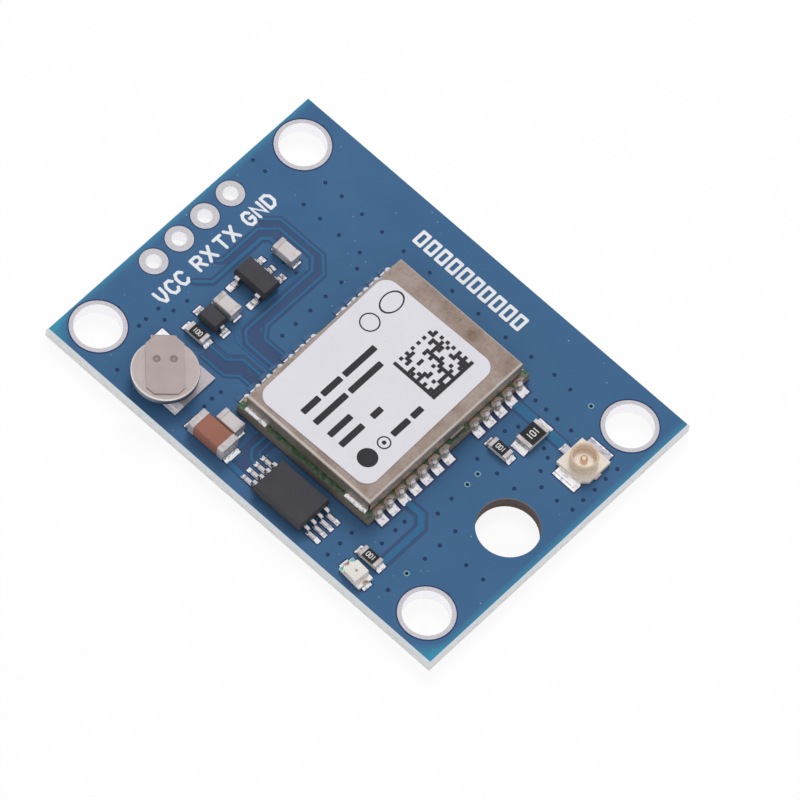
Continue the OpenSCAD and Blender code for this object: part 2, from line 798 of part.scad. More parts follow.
// Places a chip on its solder
module on_board(x, y, turn = 0) {
    translate([x, y, seat_z]) rotate(turn) children();
}

// Places a shape at every regulator lead, with X pointing away from the body
module at_regulator_leads() {
    on_board(regulator_x, regulator_y) {
        for (i = [-1, 0, 1]) translate([i * regulator_pitch, regulator_w / 2, 0]) rotate(90) children();
        for (i = [-1, 1]) translate([i * regulator_pitch, -regulator_w / 2, 0]) rotate(-90) children();
    }
}

module regulator_body() {
    color(mould_black) on_board(regulator_x, regulator_y) translate([0, 0, stand_off])
        moulded_body(regulator_l, regulator_w, regulator_h, regulator_lead_t);
}

module regulator_leads() {
    reach = (regulator_span - regulator_w) / 2;
    color(tin) at_regulator_leads()
        gull_lead(shoulder_at(regulator_h, regulator_lead_t), short_shoulder * 2, reach,
            regulator_lead_t, regulator_lead_w);
}

module regulator_solder() {
    reach = (regulator_span - regulator_w) / 2;
    color(tin) at_regulator_leads() translate([0, 0, -film_t])
        solder_joint(short_shoulder, reach, reach + toe_out, regulator_lead_w + 2 * pad_margin,
            regulator_lead_t);
}

// Places a shape at both diode leads, with X pointing away from the body
module at_diode_leads() {
    on_board(diode_x, diode_y) both_ends() translate([diode_l / 2, 0, 0]) children();
}

module diode_body() {
    color(mould_black) on_board(diode_x, diode_y) translate([0, 0, stand_off])
        moulded_body(diode_l, diode_w, diode_h, diode_lead_t);
}

module diode_leads() {
    reach = (diode_span - diode_l) / 2;
    color(tin) at_diode_leads()
        gull_lead(shoulder_at(diode_h, diode_lead_t), short_shoulder, reach, diode_lead_t, diode_lead_w);
}

module diode_solder() {
    reach = (diode_span - diode_l) / 2;
    color(tin) at_diode_leads() translate([0, 0, -film_t])
        solder_joint(short_shoulder, reach, reach + diode_toe, diode_pad_w, diode_lead_t);
}

// Places a shape at every memory lead, with X pointing away from the body
module at_memory_leads() {
    first = -(memory_leads_per_end - 1) / 2;
    on_board(memory_x, memory_y) both_ends() for (i = [0 : memory_leads_per_end - 1])
        translate([memory_l / 2, (first + i) * memory_pitch, 0]) children();
}

module memory_body() {
    color(mould_black) on_board(memory_x, memory_y) translate([0, 0, stand_off])
        moulded_body(memory_l, memory_w, memory_h, memory_lead_t);
}

module memory_leads() {
    reach = (memory_span - memory_l) / 2;
    color(tin) at_memory_leads()
        gull_lead(shoulder_at(memory_h, memory_lead_t), reach / 4, reach, memory_lead_t, memory_lead_w);
}

module memory_solder() {
    reach = (memory_span - memory_l) / 2;
    color(tin) at_memory_leads() translate([0, 0, -film_t])
        solder_joint(reach / 4, reach, reach + toe_out, memory_lead_w + 2 * pad_margin, memory_lead_t);
}

module supply_resistor_body() {
    on_board(supply_res_x, supply_res_y) resistor_body(small_l, small_w, small_h);
}

module supply_resistor_coat() {
    on_board(supply_res_x, supply_res_y) resistor_coat(small_l, small_w, small_h);
}

module supply_resistor_ends() {
    on_board(supply_res_x, supply_res_y) resistor_ends(small_l, small_w, small_h);
}

module lamp_resistor_body() {
    on_board(lamp_res_x, lamp_res_y) resistor_body(small_l, small_w, small_h);
}

module lamp_resistor_coat() {
    on_board(lamp_res_x, lamp_res_y) resistor_coat(small_l, small_w, small_h);
}

module lamp_resistor_ends() {
    on_board(lamp_res_x, lamp_res_y) resistor_ends(small_l, small_w, small_h);
}

module signal_resistor_body() {
    on_board(signal_res_x, signal_res_y) resistor_body(small_l, small_w, small_h);
}

module signal_resistor_coat() {
    on_board(signal_res_x, signal_res_y) resistor_coat(small_l, small_w, small_h);
}

module signal_resistor_ends() {
    on_board(signal_res_x, signal_res_y) resistor_ends(small_l, small_w, small_h);
}

module aerial_resistor_body() {
    on_board(aerial_res_x, aerial_res_y, 90) resistor_body(large_l, large_w, large_h);
}

module aerial_resistor_coat() {
    on_board(aerial_res_x, aerial_res_y, 90) resistor_coat(large_l, large_w, large_h);
}

module aerial_resistor_ends() {
    on_board(aerial_res_x, aerial_res_y, 90) resistor_ends(large_l, large_w, large_h);
}

module output_capacitor_body() {
    on_board(output_cap_x, output_cap_y) capacitor_body(grey_l, grey_w, grey_h, grey_ceramic);
}

module output_capacitor_ends() {
    on_board(output_cap_x, output_cap_y) capacitor_ends(grey_l, grey_w, grey_h, grey_band);
}

module input_capacitor_body() {
    on_board(input_cap_x, input_cap_y) capacitor_body(grey_l, grey_w, grey_h, grey_ceramic);
}

module input_capacitor_ends() {
    on_board(input_cap_x, input_cap_y) capacitor_ends(grey_l, grey_w, grey_h, grey_band);
}

module bulk_capacitor_body() {
    on_board(bulk_cap_x, bulk_cap_y) capacitor_body(bulk_l, bulk_w, bulk_h, brown_ceramic);
}

module bulk_capacitor_ends() {
    on_board(bulk_cap_x, bulk_cap_y) capacitor_ends(bulk_l, bulk_w, bulk_h, bulk_band);
}

module receiver_capacitor_body() {
    on_board(receiver_cap_x, receiver_cap_y) capacitor_body(grey_l, grey_w, grey_h, grey_ceramic);
}

module receiver_capacitor_ends() {
    on_board(receiver_cap_x, receiver_cap_y) capacitor_ends(grey_l, grey_w, grey_h, grey_band);
}

module chip_solder() {
    small = [[supply_res_x, supply_res_y], [lamp_res_x, lamp_res_y], [signal_res_x, signal_res_y]];
    grey = [[output_cap_x, output_cap_y], [input_cap_x, input_cap_y], [receiver_cap_x, receiver_cap_y]];
    color(tin) translate([0, 0, -film_t]) {
        for (p = small) on_board(p.x, p.y)
            chip_joints(small_l, band_l, small_pad_out, small_w - skin_t, small_climb);
        for (p = grey) on_board(p.x, p.y)
            chip_joints(grey_l, grey_band, grey_pad_out, grey_pad_w, grey_climb);
        on_board(aerial_res_x, aerial_res_y, 90)
            chip_joints(large_l, band_l, large_pad_out, large_w - skin_t, large_climb);
        on_board(bulk_cap_x, bulk_cap_y)
            chip_joints(bulk_l, bulk_band, bulk_pad_out, bulk_w - 2 * cap_edge_r, bulk_climb);
        on_board(lamp_x, lamp_y, lamp_turn)
            chip_joints(lamp_l, lamp_notch_d, lamp_notch_d / 2, lamp_w - lamp_notch_d, lamp_climb);
    }
}

// Lifts the lamp's pieces onto its bottom pads
module on_lamp(z) {
    on_board(lamp_x, lamp_y, lamp_turn) translate([0, 0, z]) children();
}

module lamp_base() {
    color(ceramic_white) on_lamp(pad_t) difference() {
        block(lamp_l, lamp_w, lamp_base_t - pad_t);
        both_ends() translate([lamp_l / 2, 0, -cut]) cylinder(d = lamp_notch_d, h = lamp_base_t + 2 * cut);
    }
}

module lamp_contacts() {
    bore_d = lamp_notch_d - 2 * barrel_t;
    color(gold) on_lamp(0) both_ends() translate([lamp_l / 2, 0, 0]) intersection() {
        translate([-lamp_notch_d, -lamp_w / 2, 0]) cube([lamp_notch_d, lamp_w, lamp_base_t]);
        difference() {
            union() {
                translate([-lamp_notch_d, -lamp_w / 2, 0]) cube([lamp_notch_d, lamp_w, pad_t]);
                cylinder(d = lamp_notch_d, h = lamp_base_t);
            }
            translate([0, 0, -cut]) cylinder(d = bore_d, h = lamp_base_t + 2 * cut);
        }
    }
}

module lamp_lens() {
    half = lamp_lens_l / 2;
    color([0.93, 0.92, 0.88]) on_lamp(lamp_base_t) difference() {
        along_y(lamp_w) polygon([
            [-half, 0], [half, 0],
            [half - lamp_lens_draft, lamp_lens_h], [-half + lamp_lens_draft, lamp_lens_h]]);
        translate([0, 0, -cut]) block(lamp_die, lamp_die, lamp_die_h + cut);
    }
}

module lamp_chip() {
    color([0.45, 0.7, 0.5]) on_lamp(lamp_base_t) block(lamp_die, lamp_die, lamp_die_h);
}

// Places a shape on the cell's axis
module on_cell(z) {
    translate([cell_x, cell_y, z]) children();
}

module cell_can() {
    r = cell_d / 2;
    lip_r = cell_cap_d / 2 + cell_seal_t;
    color(steel) on_cell(cell_z) difference() {
        rotate_extrude() polygon(concat(
            [[0, cell_step], [r - cell_crimp_w, cell_step], [r, cell_step + cell_crimp_h]],
            arc([r - cell_top_r, cell_h - cell_top_r], cell_top_r, 0, 90),
            [[0, cell_h]]));
        translate([0, 0, -cut]) cylinder(r = lip_r, h = cell_cap_h + cut);
    }
}

module cell_seal() {
    color([0.2, 0.2, 0.22]) on_cell(cell_z + cell_step) difference() {
        cylinder(d = cell_cap_d + 2 * cell_seal_t, h = cell_cap_h - cell_step);
        translate([0, 0, -cut]) cylinder(d = cell_cap_d, h = cell_cap_h + cut);
    }
}

module cell_cap() {
    color(tin) on_cell(cell_z) cylinder(d = cell_cap_d, h = cell_cap_h);
}

module cell_top_tab() {
    lead_out = tab_front - tab_back + tab_taper;
    wide = tab_w / 2;
    narrow = tab_end_w / 2;
    front = cell_d / 2 + lead_bend;
    color(steel) on_cell(0) rotate(tab_turn) difference() {
        union() {
            translate([0, 0, cell_top]) linear_extrude(tab_t) polygon([
                [-tab_back, -narrow], [-tab_back + tab_taper, -wide],
                [front - tab_taper, -wide], [front, -narrow],
                [front, narrow], [front - tab_taper, wide],
                [-tab_back + tab_taper, wide], [-tab_back, narrow]]);
            translate([tab_front - lead_out, 0, seat_z])
                gull_lead(cell_top + tab_t - seat_z, front - tab_front + lead_out, lead_out, tab_t, tab_end_w);
        }
        for (side = [-1, 1])
            translate([weld_u, side * weld_pitch / 2, cell_top + tab_t + weld_r - weld_depth]) sphere(weld_r);
    }
}

module cell_bottom_tab() {
    color(tin) on_cell(seat_z) translate([low_tab_x, low_tab_y, 0]) block(low_tab_w, low_tab_l, tab_t);
}

module cell_solder() {
    low_x = low_tab_x + (low_tab_w - low_pad_l) / 2;
    low_y = low_tab_y - (low_tab_l - low_pad_w) / 2 - low_pad_out;
    foot_u = tab_front - tab_pad_in;
    color(tin) on_cell(board_t) {
        translate([low_x, low_y, 0]) block(low_pad_l, low_pad_w, film_t);
        translate([foot_u * cos(tab_turn), foot_u * sin(tab_turn), 0]) block(tab_pad, tab_pad, film_t);
    }
}

// Sheet metal of the socket: ring with a bevelled lip, straps, two earth feet and end tongue
module coax_metal() {
    ring_r = coax_ring_d / 2;
    bore_r = ring_r - coax_ring_t;
    ring_z = coax_base_h - coax_sink;
    rotate_extrude() polygon([
        [bore_r, ring_z], [ring_r, ring_z],
        [ring_r, coax_h - coax_lip], [ring_r - coax_lip, coax_h], [bore_r, coax_h]]);
    for (side = [-1, 1]) translate([0, side * (bore_r + coax_sheet_t / 2), 0])
        block(coax_strap_w, coax_sheet_t, ring_z + coax_lap);
    difference() {
        union() {
            block(coax_foot_l, coax_span, coax_sheet_t);
            translate([0, -coax_tail_w / 2, 0]) cube([coax_tongue, coax_tail_w, coax_sheet_t]);
        }
        translate([0, 0, -cut]) cylinder(r = bore_r, h = coax_h + 2 * cut);
        translate([-coax_span, -coax_tail_w, -cut])
            cube([coax_span, 2 * coax_tail_w, 2 * coax_sheet_t + cut]);
    }
}

// Centre contact of the socket: round pin and flat signal foot
module coax_contact() {
    tip_r = coax_pin_d / 2;
    cylinder(r = tip_r, h = coax_pin_h - tip_r);
    translate([0, 0, coax_pin_h - tip_r]) sphere(tip_r);
    translate([-coax_tail, -coax_tail_w / 2, 0]) cube([coax_tail, coax_tail_w, coax_sheet_t]);
}

module coax_base() {
    half = coax_side / 2;
    color([0.9, 0.86, 0.78]) on_board(coax_x, coax_y) difference() {
        union() {
            linear_extrude(coax_base_h) polygon([
                [-half, -half], [half - coax_chamfer, -half], [half, -half + coax_chamfer],
                [half, half], [-half, half]]);
            cylinder(d = coax_ring_d - coax_ring_t, h = coax_well_h);
        }
        coax_metal();
        coax_contact();
    }
}

module coax_shell() {
    color(gold) on_board(coax_x, coax_y) coax_metal();
}

module coax_pin() {
    color(gold) on_board(coax_x, coax_y) coax_contact();
}

module coax_solder() {
    inner = coax_side / 2;
    foot_end = coax_span / 2;
    earth_w = coax_foot_l + 2 * pad_margin;
    tail_w = coax_tail_w + 2 * pad_margin;
    color(tin) on_board(coax_x, coax_y) translate([0, 0, -film_t]) {
        for (turn = [90, -90]) rotate(turn)
            solder_joint(inner, foot_end, foot_end + coax_pad_out, earth_w, coax_sheet_t);
        rotate(180) solder_joint(inner, coax_tail, coax_tail + coax_pad_out, tail_w, coax_sheet_t);
    }
}

circuit_board();
mounting_hole_plating();
pin_hole_plating();
carrier_board();
edge_contacts();
edge_solder();
shield_can();
shield_solder();
receiver_label();
receiver_chip();
receiver_crystal();
aerial_filter();
receiver_passives();
regulator_body();
regulator_leads();
regulator_solder();
diode_body();
diode_leads();
diode_solder();
memory_body();
memory_leads();
memory_solder();
supply_resistor_body();
supply_resistor_coat();
supply_resistor_ends();
lamp_resistor_body();
lamp_resistor_coat();
lamp_resistor_ends();
signal_resistor_body();
signal_resistor_coat();
signal_resistor_ends();
aerial_resistor_body();
aerial_resistor_coat();
aerial_resistor_ends();
output_capacitor_body();
output_capacitor_ends();
input_capacitor_body();
input_capacitor_ends();
bulk_capacitor_body();
bulk_capacitor_ends();
receiver_capacitor_body();
receiver_capacitor_ends();
chip_solder();
lamp_base();
lamp_contacts();
lamp_lens();
lamp_chip();
cell_can();
cell_seal();
cell_cap();
cell_top_tab();
cell_bottom_tab();
cell_solder();
coax_base();
coax_shell();
coax_pin();
coax_solder();
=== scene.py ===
import json
import math

import bpy
from bpy.props import FloatProperty, FloatVectorProperty, PointerProperty
from mathutils import Matrix, Vector
from mathutils.geometry import convex_hull_2d


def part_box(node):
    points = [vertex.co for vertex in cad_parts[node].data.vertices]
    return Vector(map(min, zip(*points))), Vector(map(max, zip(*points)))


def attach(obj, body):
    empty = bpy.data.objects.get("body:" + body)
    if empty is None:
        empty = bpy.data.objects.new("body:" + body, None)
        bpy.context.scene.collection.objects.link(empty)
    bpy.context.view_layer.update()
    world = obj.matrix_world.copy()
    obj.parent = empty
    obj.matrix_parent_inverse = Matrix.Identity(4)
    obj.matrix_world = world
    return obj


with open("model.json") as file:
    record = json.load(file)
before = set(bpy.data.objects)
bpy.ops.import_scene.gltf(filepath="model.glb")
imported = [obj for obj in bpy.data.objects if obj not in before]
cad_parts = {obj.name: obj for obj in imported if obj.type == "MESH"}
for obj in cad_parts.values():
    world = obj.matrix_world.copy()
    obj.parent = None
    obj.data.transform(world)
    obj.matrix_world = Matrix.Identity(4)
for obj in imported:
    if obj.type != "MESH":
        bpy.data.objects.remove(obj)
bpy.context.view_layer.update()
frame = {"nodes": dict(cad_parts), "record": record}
NODES = frame["nodes"]
MOUNTS = {mount["name"]: mount for mount in frame["record"]["mounts"]}

bl_info = {
    "name": "Positioning receiver board",
    "version": (1, 0, 0),
    "blender": (4, 5, 0),
    "location": "3D View > Sidebar > Receiver board",
    "description": "Finishes, copper, print and stage for a positioning receiver board",
    "category": "Object",
}

# Lengths in the tables below are millimetres in the frame of the board, and Blender works in metres
MM = 0.001
BOARD_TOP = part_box("circuit_board")[1][2] / MM
LABEL_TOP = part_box("receiver_label")[1][2] / MM

# Bevels that soften the edges of CAD nodes
WELD_REACH = 0.0005
BEVEL_STEPS = 3
BEVEL_ANGLE = math.radians(35.0)

# Longest mitre of a raised line, in shares of half its width
LONGEST_MITRE = 1.8

# Stretch of an even grain, of one that lies level, as glass fibres do, and of one that runs along Y
EVEN = (1.0, 1.0, 1.0)
FIBRES = (0.3, 0.3, 3.0)
ROLLED = (1.0, 0.25, 1.0)

# Fixed settings of finishes and of the camera
MATT_SPECULAR = 0.2
SOLDER_GRAIN = 0.09
SOLDER_DEPTH = 0.07
SENSOR_WIDTH = 36.0


def middle(node):
    """Centre of a CAD node's box in millimetres."""
    low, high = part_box(node)
    return [(a + b) / 2 / MM for a, b in zip(low, high)]


def linear(red, green, blue):
    """Turn a colour picked in 0 to 255 steps into the linear values that Blender works with."""
    shares = (red / 255, green / 255, blue / 255)
    return tuple(c / 12.92 if c <= 0.04045 else ((c + 0.055) / 1.055) ** 2.4 for c in shares)


def darker(base, light):
    """The same colour with a share of its light."""
    return tuple(c * light for c in base)


def colour(name, description, *default):
    """A colour property with a default given in 0 to 255 steps."""
    return FloatVectorProperty(
        name=name, description=description, subtype="COLOR", min=0.0, max=1.0, default=linear(*default)
    )


def length(name, description, default):
    """A length property with a default given in millimetres."""
    return FloatProperty(
        name=name, description=description, subtype="DISTANCE", unit="LENGTH", min=0.0, precision=6,
        default=default * MM,
    )


def angle(name, description, default):
    """An angle property with a default given in degrees."""
    return FloatProperty(name=name, description=description, subtype="ANGLE", default=math.radians(default))


def power(name, description, default):
    """The power of a light in watts."""
    return FloatProperty(name=name, description=description, subtype="POWER", min=0.0, default=default)


def factor(name, description, default):
    """A share from 0 to 1."""
    return FloatProperty(
        name=name, description=description, subtype="FACTOR", min=0.0, max=1.0, default=default
    )


# Settings


class BoardLook(bpy.types.PropertyGroup):
    """Colours and heights of the board, its copper and its print"""

    mask: colour("Mask", "Blue mask over the copper fill", 64, 103, 142)
    mask_deep: colour("Mask shade", "Blue mask where it lies thicker", 57, 96, 135)
    margin: colour("Margin", "Mask on bare laminate along the outline", 60, 142, 172)
    gap: colour("Gap", "Mask in the gaps beside the traces", 61, 83, 120)
    rim: colour("Pad rim", "Edge of the mask round the pads", 48, 58, 100)
    trace: colour("Trace", "Mask over a trace", 52, 106, 146)
    dust: colour("Dust", "Fine dust on the mask", 176, 196, 210)
    via: colour("Via", "Mask over a filled hole", 30, 48, 84)
    via_ring: colour("Via ring", "Thin mask round an open hole", 120, 165, 178)
    # Painted shade: a dark disc stands for the inside of an open hole
    via_bore_shade: colour("Via bore", "Inside of an open hole", 22, 22, 28)
    laminate: colour("Laminate", "Cut edge of the glass laminate", 244, 245, 245)
    laminate_deep: colour("Laminate shade", "Glass fibres in the cut edge", 206, 206, 204)
    bevel: colour("Bevel", "Scored bevel along the outline", 234, 240, 246)
    drilled: colour("Drilled wall", "Wall of the hole without plating", 112, 98, 97)
    tin: colour("Tin", "Tinned rings of the holes", 207, 204, 209)
    # Painted light: the tin of the hole walls, painted near white
    lit_barrel: colour("Barrel", "Bright wall of the plated holes", 250, 249, 253)
    print_white: colour("Print", "White print on the mask", 236, 239, 243)
    gap_rise: length("Gap rise", "Height of the mask in the gaps", 0.004)
    rim_rise: length("Pad rim rise", "Height of the mask's edge round the pads", 0.01)
    trace_rise: length("Trace rise", "Height of the mask over a trace", 0.034)
    print_rise: length("Print rise", "Height of the white print", 0.03)


class ReceiverLook(bpy.types.PropertyGroup):
    """Colours of the shielded receiver and its label"""

    carrier: colour("Carrier", "Green mask of the carrier board", 48, 92, 66)
    carrier_edge: colour("Carrier edge", "Cut edge of the carrier board", 138, 126, 112)
    contact: colour("Contact", "Bare plating of the half holes at the edge", 158, 106, 74)
    contact_worn: colour("Worn contact", "Plating of the half holes under solder", 170, 156, 145)
    solder: colour("Solder", "Solder at the half holes", 226, 224, 228)
    # Painted reflection: dark facets of the solder
    solder_dark_reflection: colour("Dull solder", "Dull facets of the solder", 132, 130, 134)
    # Real flux and tarnish on the carrier board, and painted shade on the solder that climbs the half holes
    tarnish_and_shade: colour("Tarnish", "Flux and tarnish on the upper solder", 146, 134, 124)
    shield: colour("Shield", "Top of the cover", 168, 153, 146)
    # Painted light: the upright walls are a lighter copy of the cover's metal
    lit_shield_wall: colour("Shield wall", "Upright walls of the cover", 180, 168, 157)
    # Painted highlight along the bends of the cover
    shield_bend_highlight: colour("Bend", "Polished bends of the cover", 224, 215, 206)
    shield_stain: colour("Stain", "Flux stains on the cover", 128, 108, 92)
    label: colour("Label", "Label film", 226, 224, 231)
    ink: colour("Ink", "Marks on the label", 54, 52, 57)
    inside: colour("Inside parts", "Moulded parts under the cover", 52, 52, 56)
    ink_rise: length("Ink rise", "Height of the marks on the label", 0.006)


class PartLook(bpy.types.PropertyGroup):
    """Colours of the small parts on the board"""

    mould: colour("Mould", "Moulded chip bodies", 69, 68, 73)
    lead: colour("Lead", "Tinned leads", 205, 203, 206)
    solder: colour("Solder", "Solder fillets", 232, 231, 234)
    # Painted reflection: dark facets of the fillets
    solder_dark_reflection: colour("Dull solder", "Dull facets of the fillets", 138, 136, 140)
    coat: colour("Coat", "Black coat of a chip resistor", 40, 40, 44)
    digit: colour("Digit", "Number on a chip resistor", 228, 228, 226)
    resistor: colour("Resistor", "Ceramic of a chip resistor", 226, 222, 210)
    grey_ceramic: colour("Grey ceramic", "Body of a small capacitor", 210, 204, 204)
    brown_ceramic: colour("Brown ceramic", "Body of the large capacitor", 158, 106, 91)
    end_cap: colour("End cap", "Tinned end of a chip part", 214, 207, 208)
    lamp: colour("Lamp", "White case of the lamp", 244, 238, 235)
    lamp_resin: colour("Lamp resin", "Clear resin over the lamp's chip", 230, 226, 220)
    lamp_mark: colour("Lamp mark", "Green corner marks of the lamp", 96, 196, 176)
    lamp_metal: colour("Lamp metal", "Plated contacts of the lamp", 206, 178, 150)


class PowerLook(bpy.types.PropertyGroup):
    """Colours of the backup cell and the aerial socket"""

    cell: colour("Cell", "Steel of the cell", 193, 180, 178)
    # Painted highlight on the rim of the cell's can
    cell_rim_highlight: colour("Cell rim", "Polished rim of the cell", 238, 231, 229)
    # Painted light: a lighter copy of the solder colour, for solder that lies in shade
    lit_solder: colour("Wet solder", "Bright solder at the cell's tabs and the socket", 255, 253, 255)
    # Painted shade on the can's wall below its rim
    cell_crimp_shade: colour("Cell crimp", "Dark crimped edge of the cell", 112, 120, 134)
    tab: colour("Tab", "Steel of the cell's top tab", 182, 168, 167)
    low_tab: colour("Bottom tab", "Steel of the cell's bottom tab", 198, 190, 194)
    # Painted shade in the weld dents of the cell's tab
    weld_dent_shade: colour("Weld", "Weld marks on the cell's tab", 132, 114, 113)
    cell_seal: colour("Seal", "Plastic ring of the cell", 62, 62, 66)
    coax_base: colour("Socket base", "Cream plastic of the socket", 234, 226, 214)
    # Painted light on the floor inside the socket's ring
    coax_lit_well: colour("Socket well", "Pale floor inside the ring", 238, 224, 212)
    coax_ring: colour("Socket ring", "Plated ring of the socket", 212, 190, 166)
    # Painted light: a lighter copy of the ring's plating for its upright faces
    coax_lit_wall: colour("Socket wall", "Bright wall of the socket's ring", 246, 226, 204)
    coax_foot: colour("Socket foot", "Tinned feet of the socket", 204, 198, 210)
    coax_tongue: colour("Socket tongue", "Bare copper tongue of the socket", 242, 208, 196)
    coax_pin: colour("Socket pin", "Gold pin of the socket", 242, 218, 188)


class StageLook(bpy.types.PropertyGroup):
    """Camera, light and floor"""

    azimuth: angle("Azimuth", "Turn of the camera about the board", 33.2339)
    elevation: angle("Elevation", "Height angle of the camera", 61.2176)
    roll: angle("Roll", "Roll of the camera about its line of sight", 11.0272)
    distance: length("Distance", "Camera to target", 741.8947)
    target: FloatVectorProperty(
        name="Target", description="Point that the camera looks at", subtype="XYZ", unit="LENGTH",
        precision=6, default=(0.00237331, 0.00076501, 0.0),
    )
    lens: FloatProperty(name="Lens", description="Focal length in millimetres", min=1.0, default=492.6475)
    key_power: power("Key light", "Power of the soft light from the back left", 2.1)
    fill_power: power("Fill light", "Power of the soft light from the front", 0.25)
    sky: factor("Sky", "Strength of the light from all round", 0.62)
    floor: colour("Floor", "Plain pale floor", 250, 250, 250)
    floor_glow: factor("Floor glow", "Share of the floor that shows as plain white", 0.87)


# Shader nodes


def operation(name, flipped=False):
    """A method of a value that adds a Math node, with the value as its last input where it is flipped."""

    def method(self, *others):
        inputs = (*others, self) if flipped else (self, *others)
        return self.nodes.add("ShaderNodeMath", {"operation": name}, dict(enumerate(inputs)))

    return method


class Value:
    """A socket of a node tree, with arithmetic that adds Math nodes."""

    def __init__(self, nodes, socket):
        self.nodes = nodes
        self.socket = socket

    __add__ = operation("ADD")
    __radd__ = operation("ADD", flipped=True)
    __sub__ = operation("SUBTRACT")
    __rsub__ = operation("SUBTRACT", flipped=True)
    __mul__ = operation("MULTIPLY")
    __rmul__ = operation("MULTIPLY", flipped=True)
    __pow__ = operation("POWER")
    __rpow__ = operation("POWER", flipped=True)
    __abs__ = operation("ABSOLUTE")
    largest = operation("MAXIMUM")
    smallest = operation("MINIMUM")

    def ramp(self, low, high):
        """0 below low, 1 above high, straight between."""
        inputs = {"Value": self, "From Min": low, "From Max": high}
        return self.nodes.add("ShaderNodeMapRange", {"clamp": True}, inputs)


class Nodes:
    """A node tree that is built one node at a time."""

    def __init__(self, tree):
        self.tree = tree
        tree.nodes.clear()

    def add(self, kind, settings=None, inputs=None, output=0):
        """Add a node, set it up, fill or link its sockets, and give one of its outputs."""
        node = self.tree.nodes.new(kind)
        for name, setting in (settings or {}).items():
            setattr(node, name, setting)
        for name, value in (inputs or {}).items():
            if isinstance(value, Value):
                self.tree.links.new(value.socket, node.inputs[name])
            elif node.inputs[name].type == "RGBA":
                node.inputs[name].default_value = (*value, 1.0)
            else:
                node.inputs[name].default_value = value
        return Value(self, node.outputs[output]) if node.outputs else None


class Finish(Nodes):
    """A material of one surface, with a fine grain whose lumps have a size in millimetres."""

    def __init__(self, name, size, stretch=EVEN):
        self.material = bpy.data.materials.new(name)
        self.material.use_nodes = True
        super().__init__(self.material.node_tree)
        self.fine = self.grain(size, stretch=stretch)

    def scaled(self, scale, shift=0.0):
        """The point in the object's own frame, scaled along each axis and shifted."""
        point = self.add("ShaderNodeTexCoord", output="Object")
        inputs = {0: point, 1: scale, 2: (shift, shift, shift)}
        return self.add("ShaderNodeVectorMath", {"operation": "MULTIPLY_ADD"}, inputs)

    def place(self):
        """The three coordinates of a point in millimetres."""
        split = {"Vector": self.scaled((1 / MM, 1 / MM, 1 / MM))}
        return [self.add("ShaderNodeSeparateXYZ", None, split, axis) for axis in range(3)]

    def away(self, x, y):
        """How many millimetres a point is from an upright line."""
        across, along, _ = self.place()
        return ((across - x) ** 2.0 + (along - y) ** 2.0) ** 0.5

    def level(self):
        """1 on level faces, 0 on upright ones."""
        normal = {"Vector": self.add("ShaderNodeNewGeometry", output="True Normal")}
        return abs(self.add("ShaderNodeSeparateXYZ", None, normal, 2))

    def grain(self, size, detail=3.0, stretch=EVEN, seed=0.0):
        """Noise from 0 to 1 with lumps of about size millimetres, drawn out where stretch is small."""
        spot = self.scaled(tuple(s / (size * MM) for s in stretch), seed)
        return self.add("ShaderNodeTexNoise", None, {"Vector": spot, "Scale": 1.0, "Detail": detail})

    def patches(self, size, low, high, **options):
        """Clouds of a grain of its own, from 0 to 1."""
        return self.grain(size, **options).ramp(low, high)

    def speckle(self, low, high):
        """The upper part of the fine grain, from 0 to 1."""
        return self.fine.ramp(low, high)

    def specks(self, size, share):
        """1 on small round specks about size millimetres apart that cover a share of their cells."""
        spot = self.scaled((1 / (size * MM),) * 3)
        near = self.add("ShaderNodeTexVoronoi", None, {"Vector": spot, "Scale": 1.0}, "Distance")
        return near.ramp(share, share * 0.6)

    def blend(self, first, second, share):
        return self.add("ShaderNodeMix", {"data_type": "RGBA"}, {0: share, 6: first, 7: second}, 2)

    def shaded(self, base, light, share):
        """A colour that keeps only a part of its light on a share of the surface."""
        return self.blend(base, darker(base, light), share)

    def surface(self, tint, rough, vary, metal=0.0, height=None, depth=0.004, specular=0.5, coat=0.0):
        """End the material, with a roughness that rises by vary with the grain and bumps of a depth in mm."""
        bump = {"Strength": 1.0, "Distance": depth * MM, "Height": height or self.fine}
        shader = self.add("ShaderNodeBsdfPrincipled", None, {
            "Base Color": tint,
            "Roughness": rough + self.fine * vary,
            "Metallic": metal,
            "Specular IOR Level": specular,
            "Coat Weight": coat,
            "Normal": self.add("ShaderNodeBump", None, bump),
        })
        self.add("ShaderNodeOutputMaterial", None, {"Surface": shader})
        return self


def matt_finish(name, base, light, rough, size=0.12, depth=0.004, cloud=1.6):
    """A dull surface such as print or plastic, with clouds that keep a part of the light."""
    finish = Finish(name, size)
    clouds = finish.patches(cloud, 0.3, 0.75, seed=3.0)
    tint = finish.shaded(base, light, clouds * 0.6 + finish.speckle(0.45, 0.75) * 0.4)
    return finish.surface(tint, rough - 0.08, 0.16, depth=depth, specular=MATT_SPECULAR)


def metal_finish(name, base, light, rough, size=0.2, depth=0.004, cloud=1.2, metal=1.0):
    """A plated or bare metal with clouds that keep a part of the light."""
    finish = Finish(name, size)
    clouds = finish.patches(cloud, 0.35, 0.75, seed=7.0)
    tint = finish.shaded(base, light, clouds * 0.7 + finish.speckle(0.5, 0.8) * 0.3)
    return finish.surface(tint, rough - 0.1, 0.2, metal, depth=depth)


def facets(finish, bright, dull):
    """The tint and the lumps of solder, with painted reflections that make some facets bright and some dark.
    """
    lumps = finish.grain(0.3, detail=2.0, seed=2.0)
    # Painted reflections: the share of dark facets on the solder
    share = lumps.ramp(0.52, 0.64) * 0.6 + finish.speckle(0.55, 0.75) * 0.2
    return finish.blend(bright, dull, share), lumps


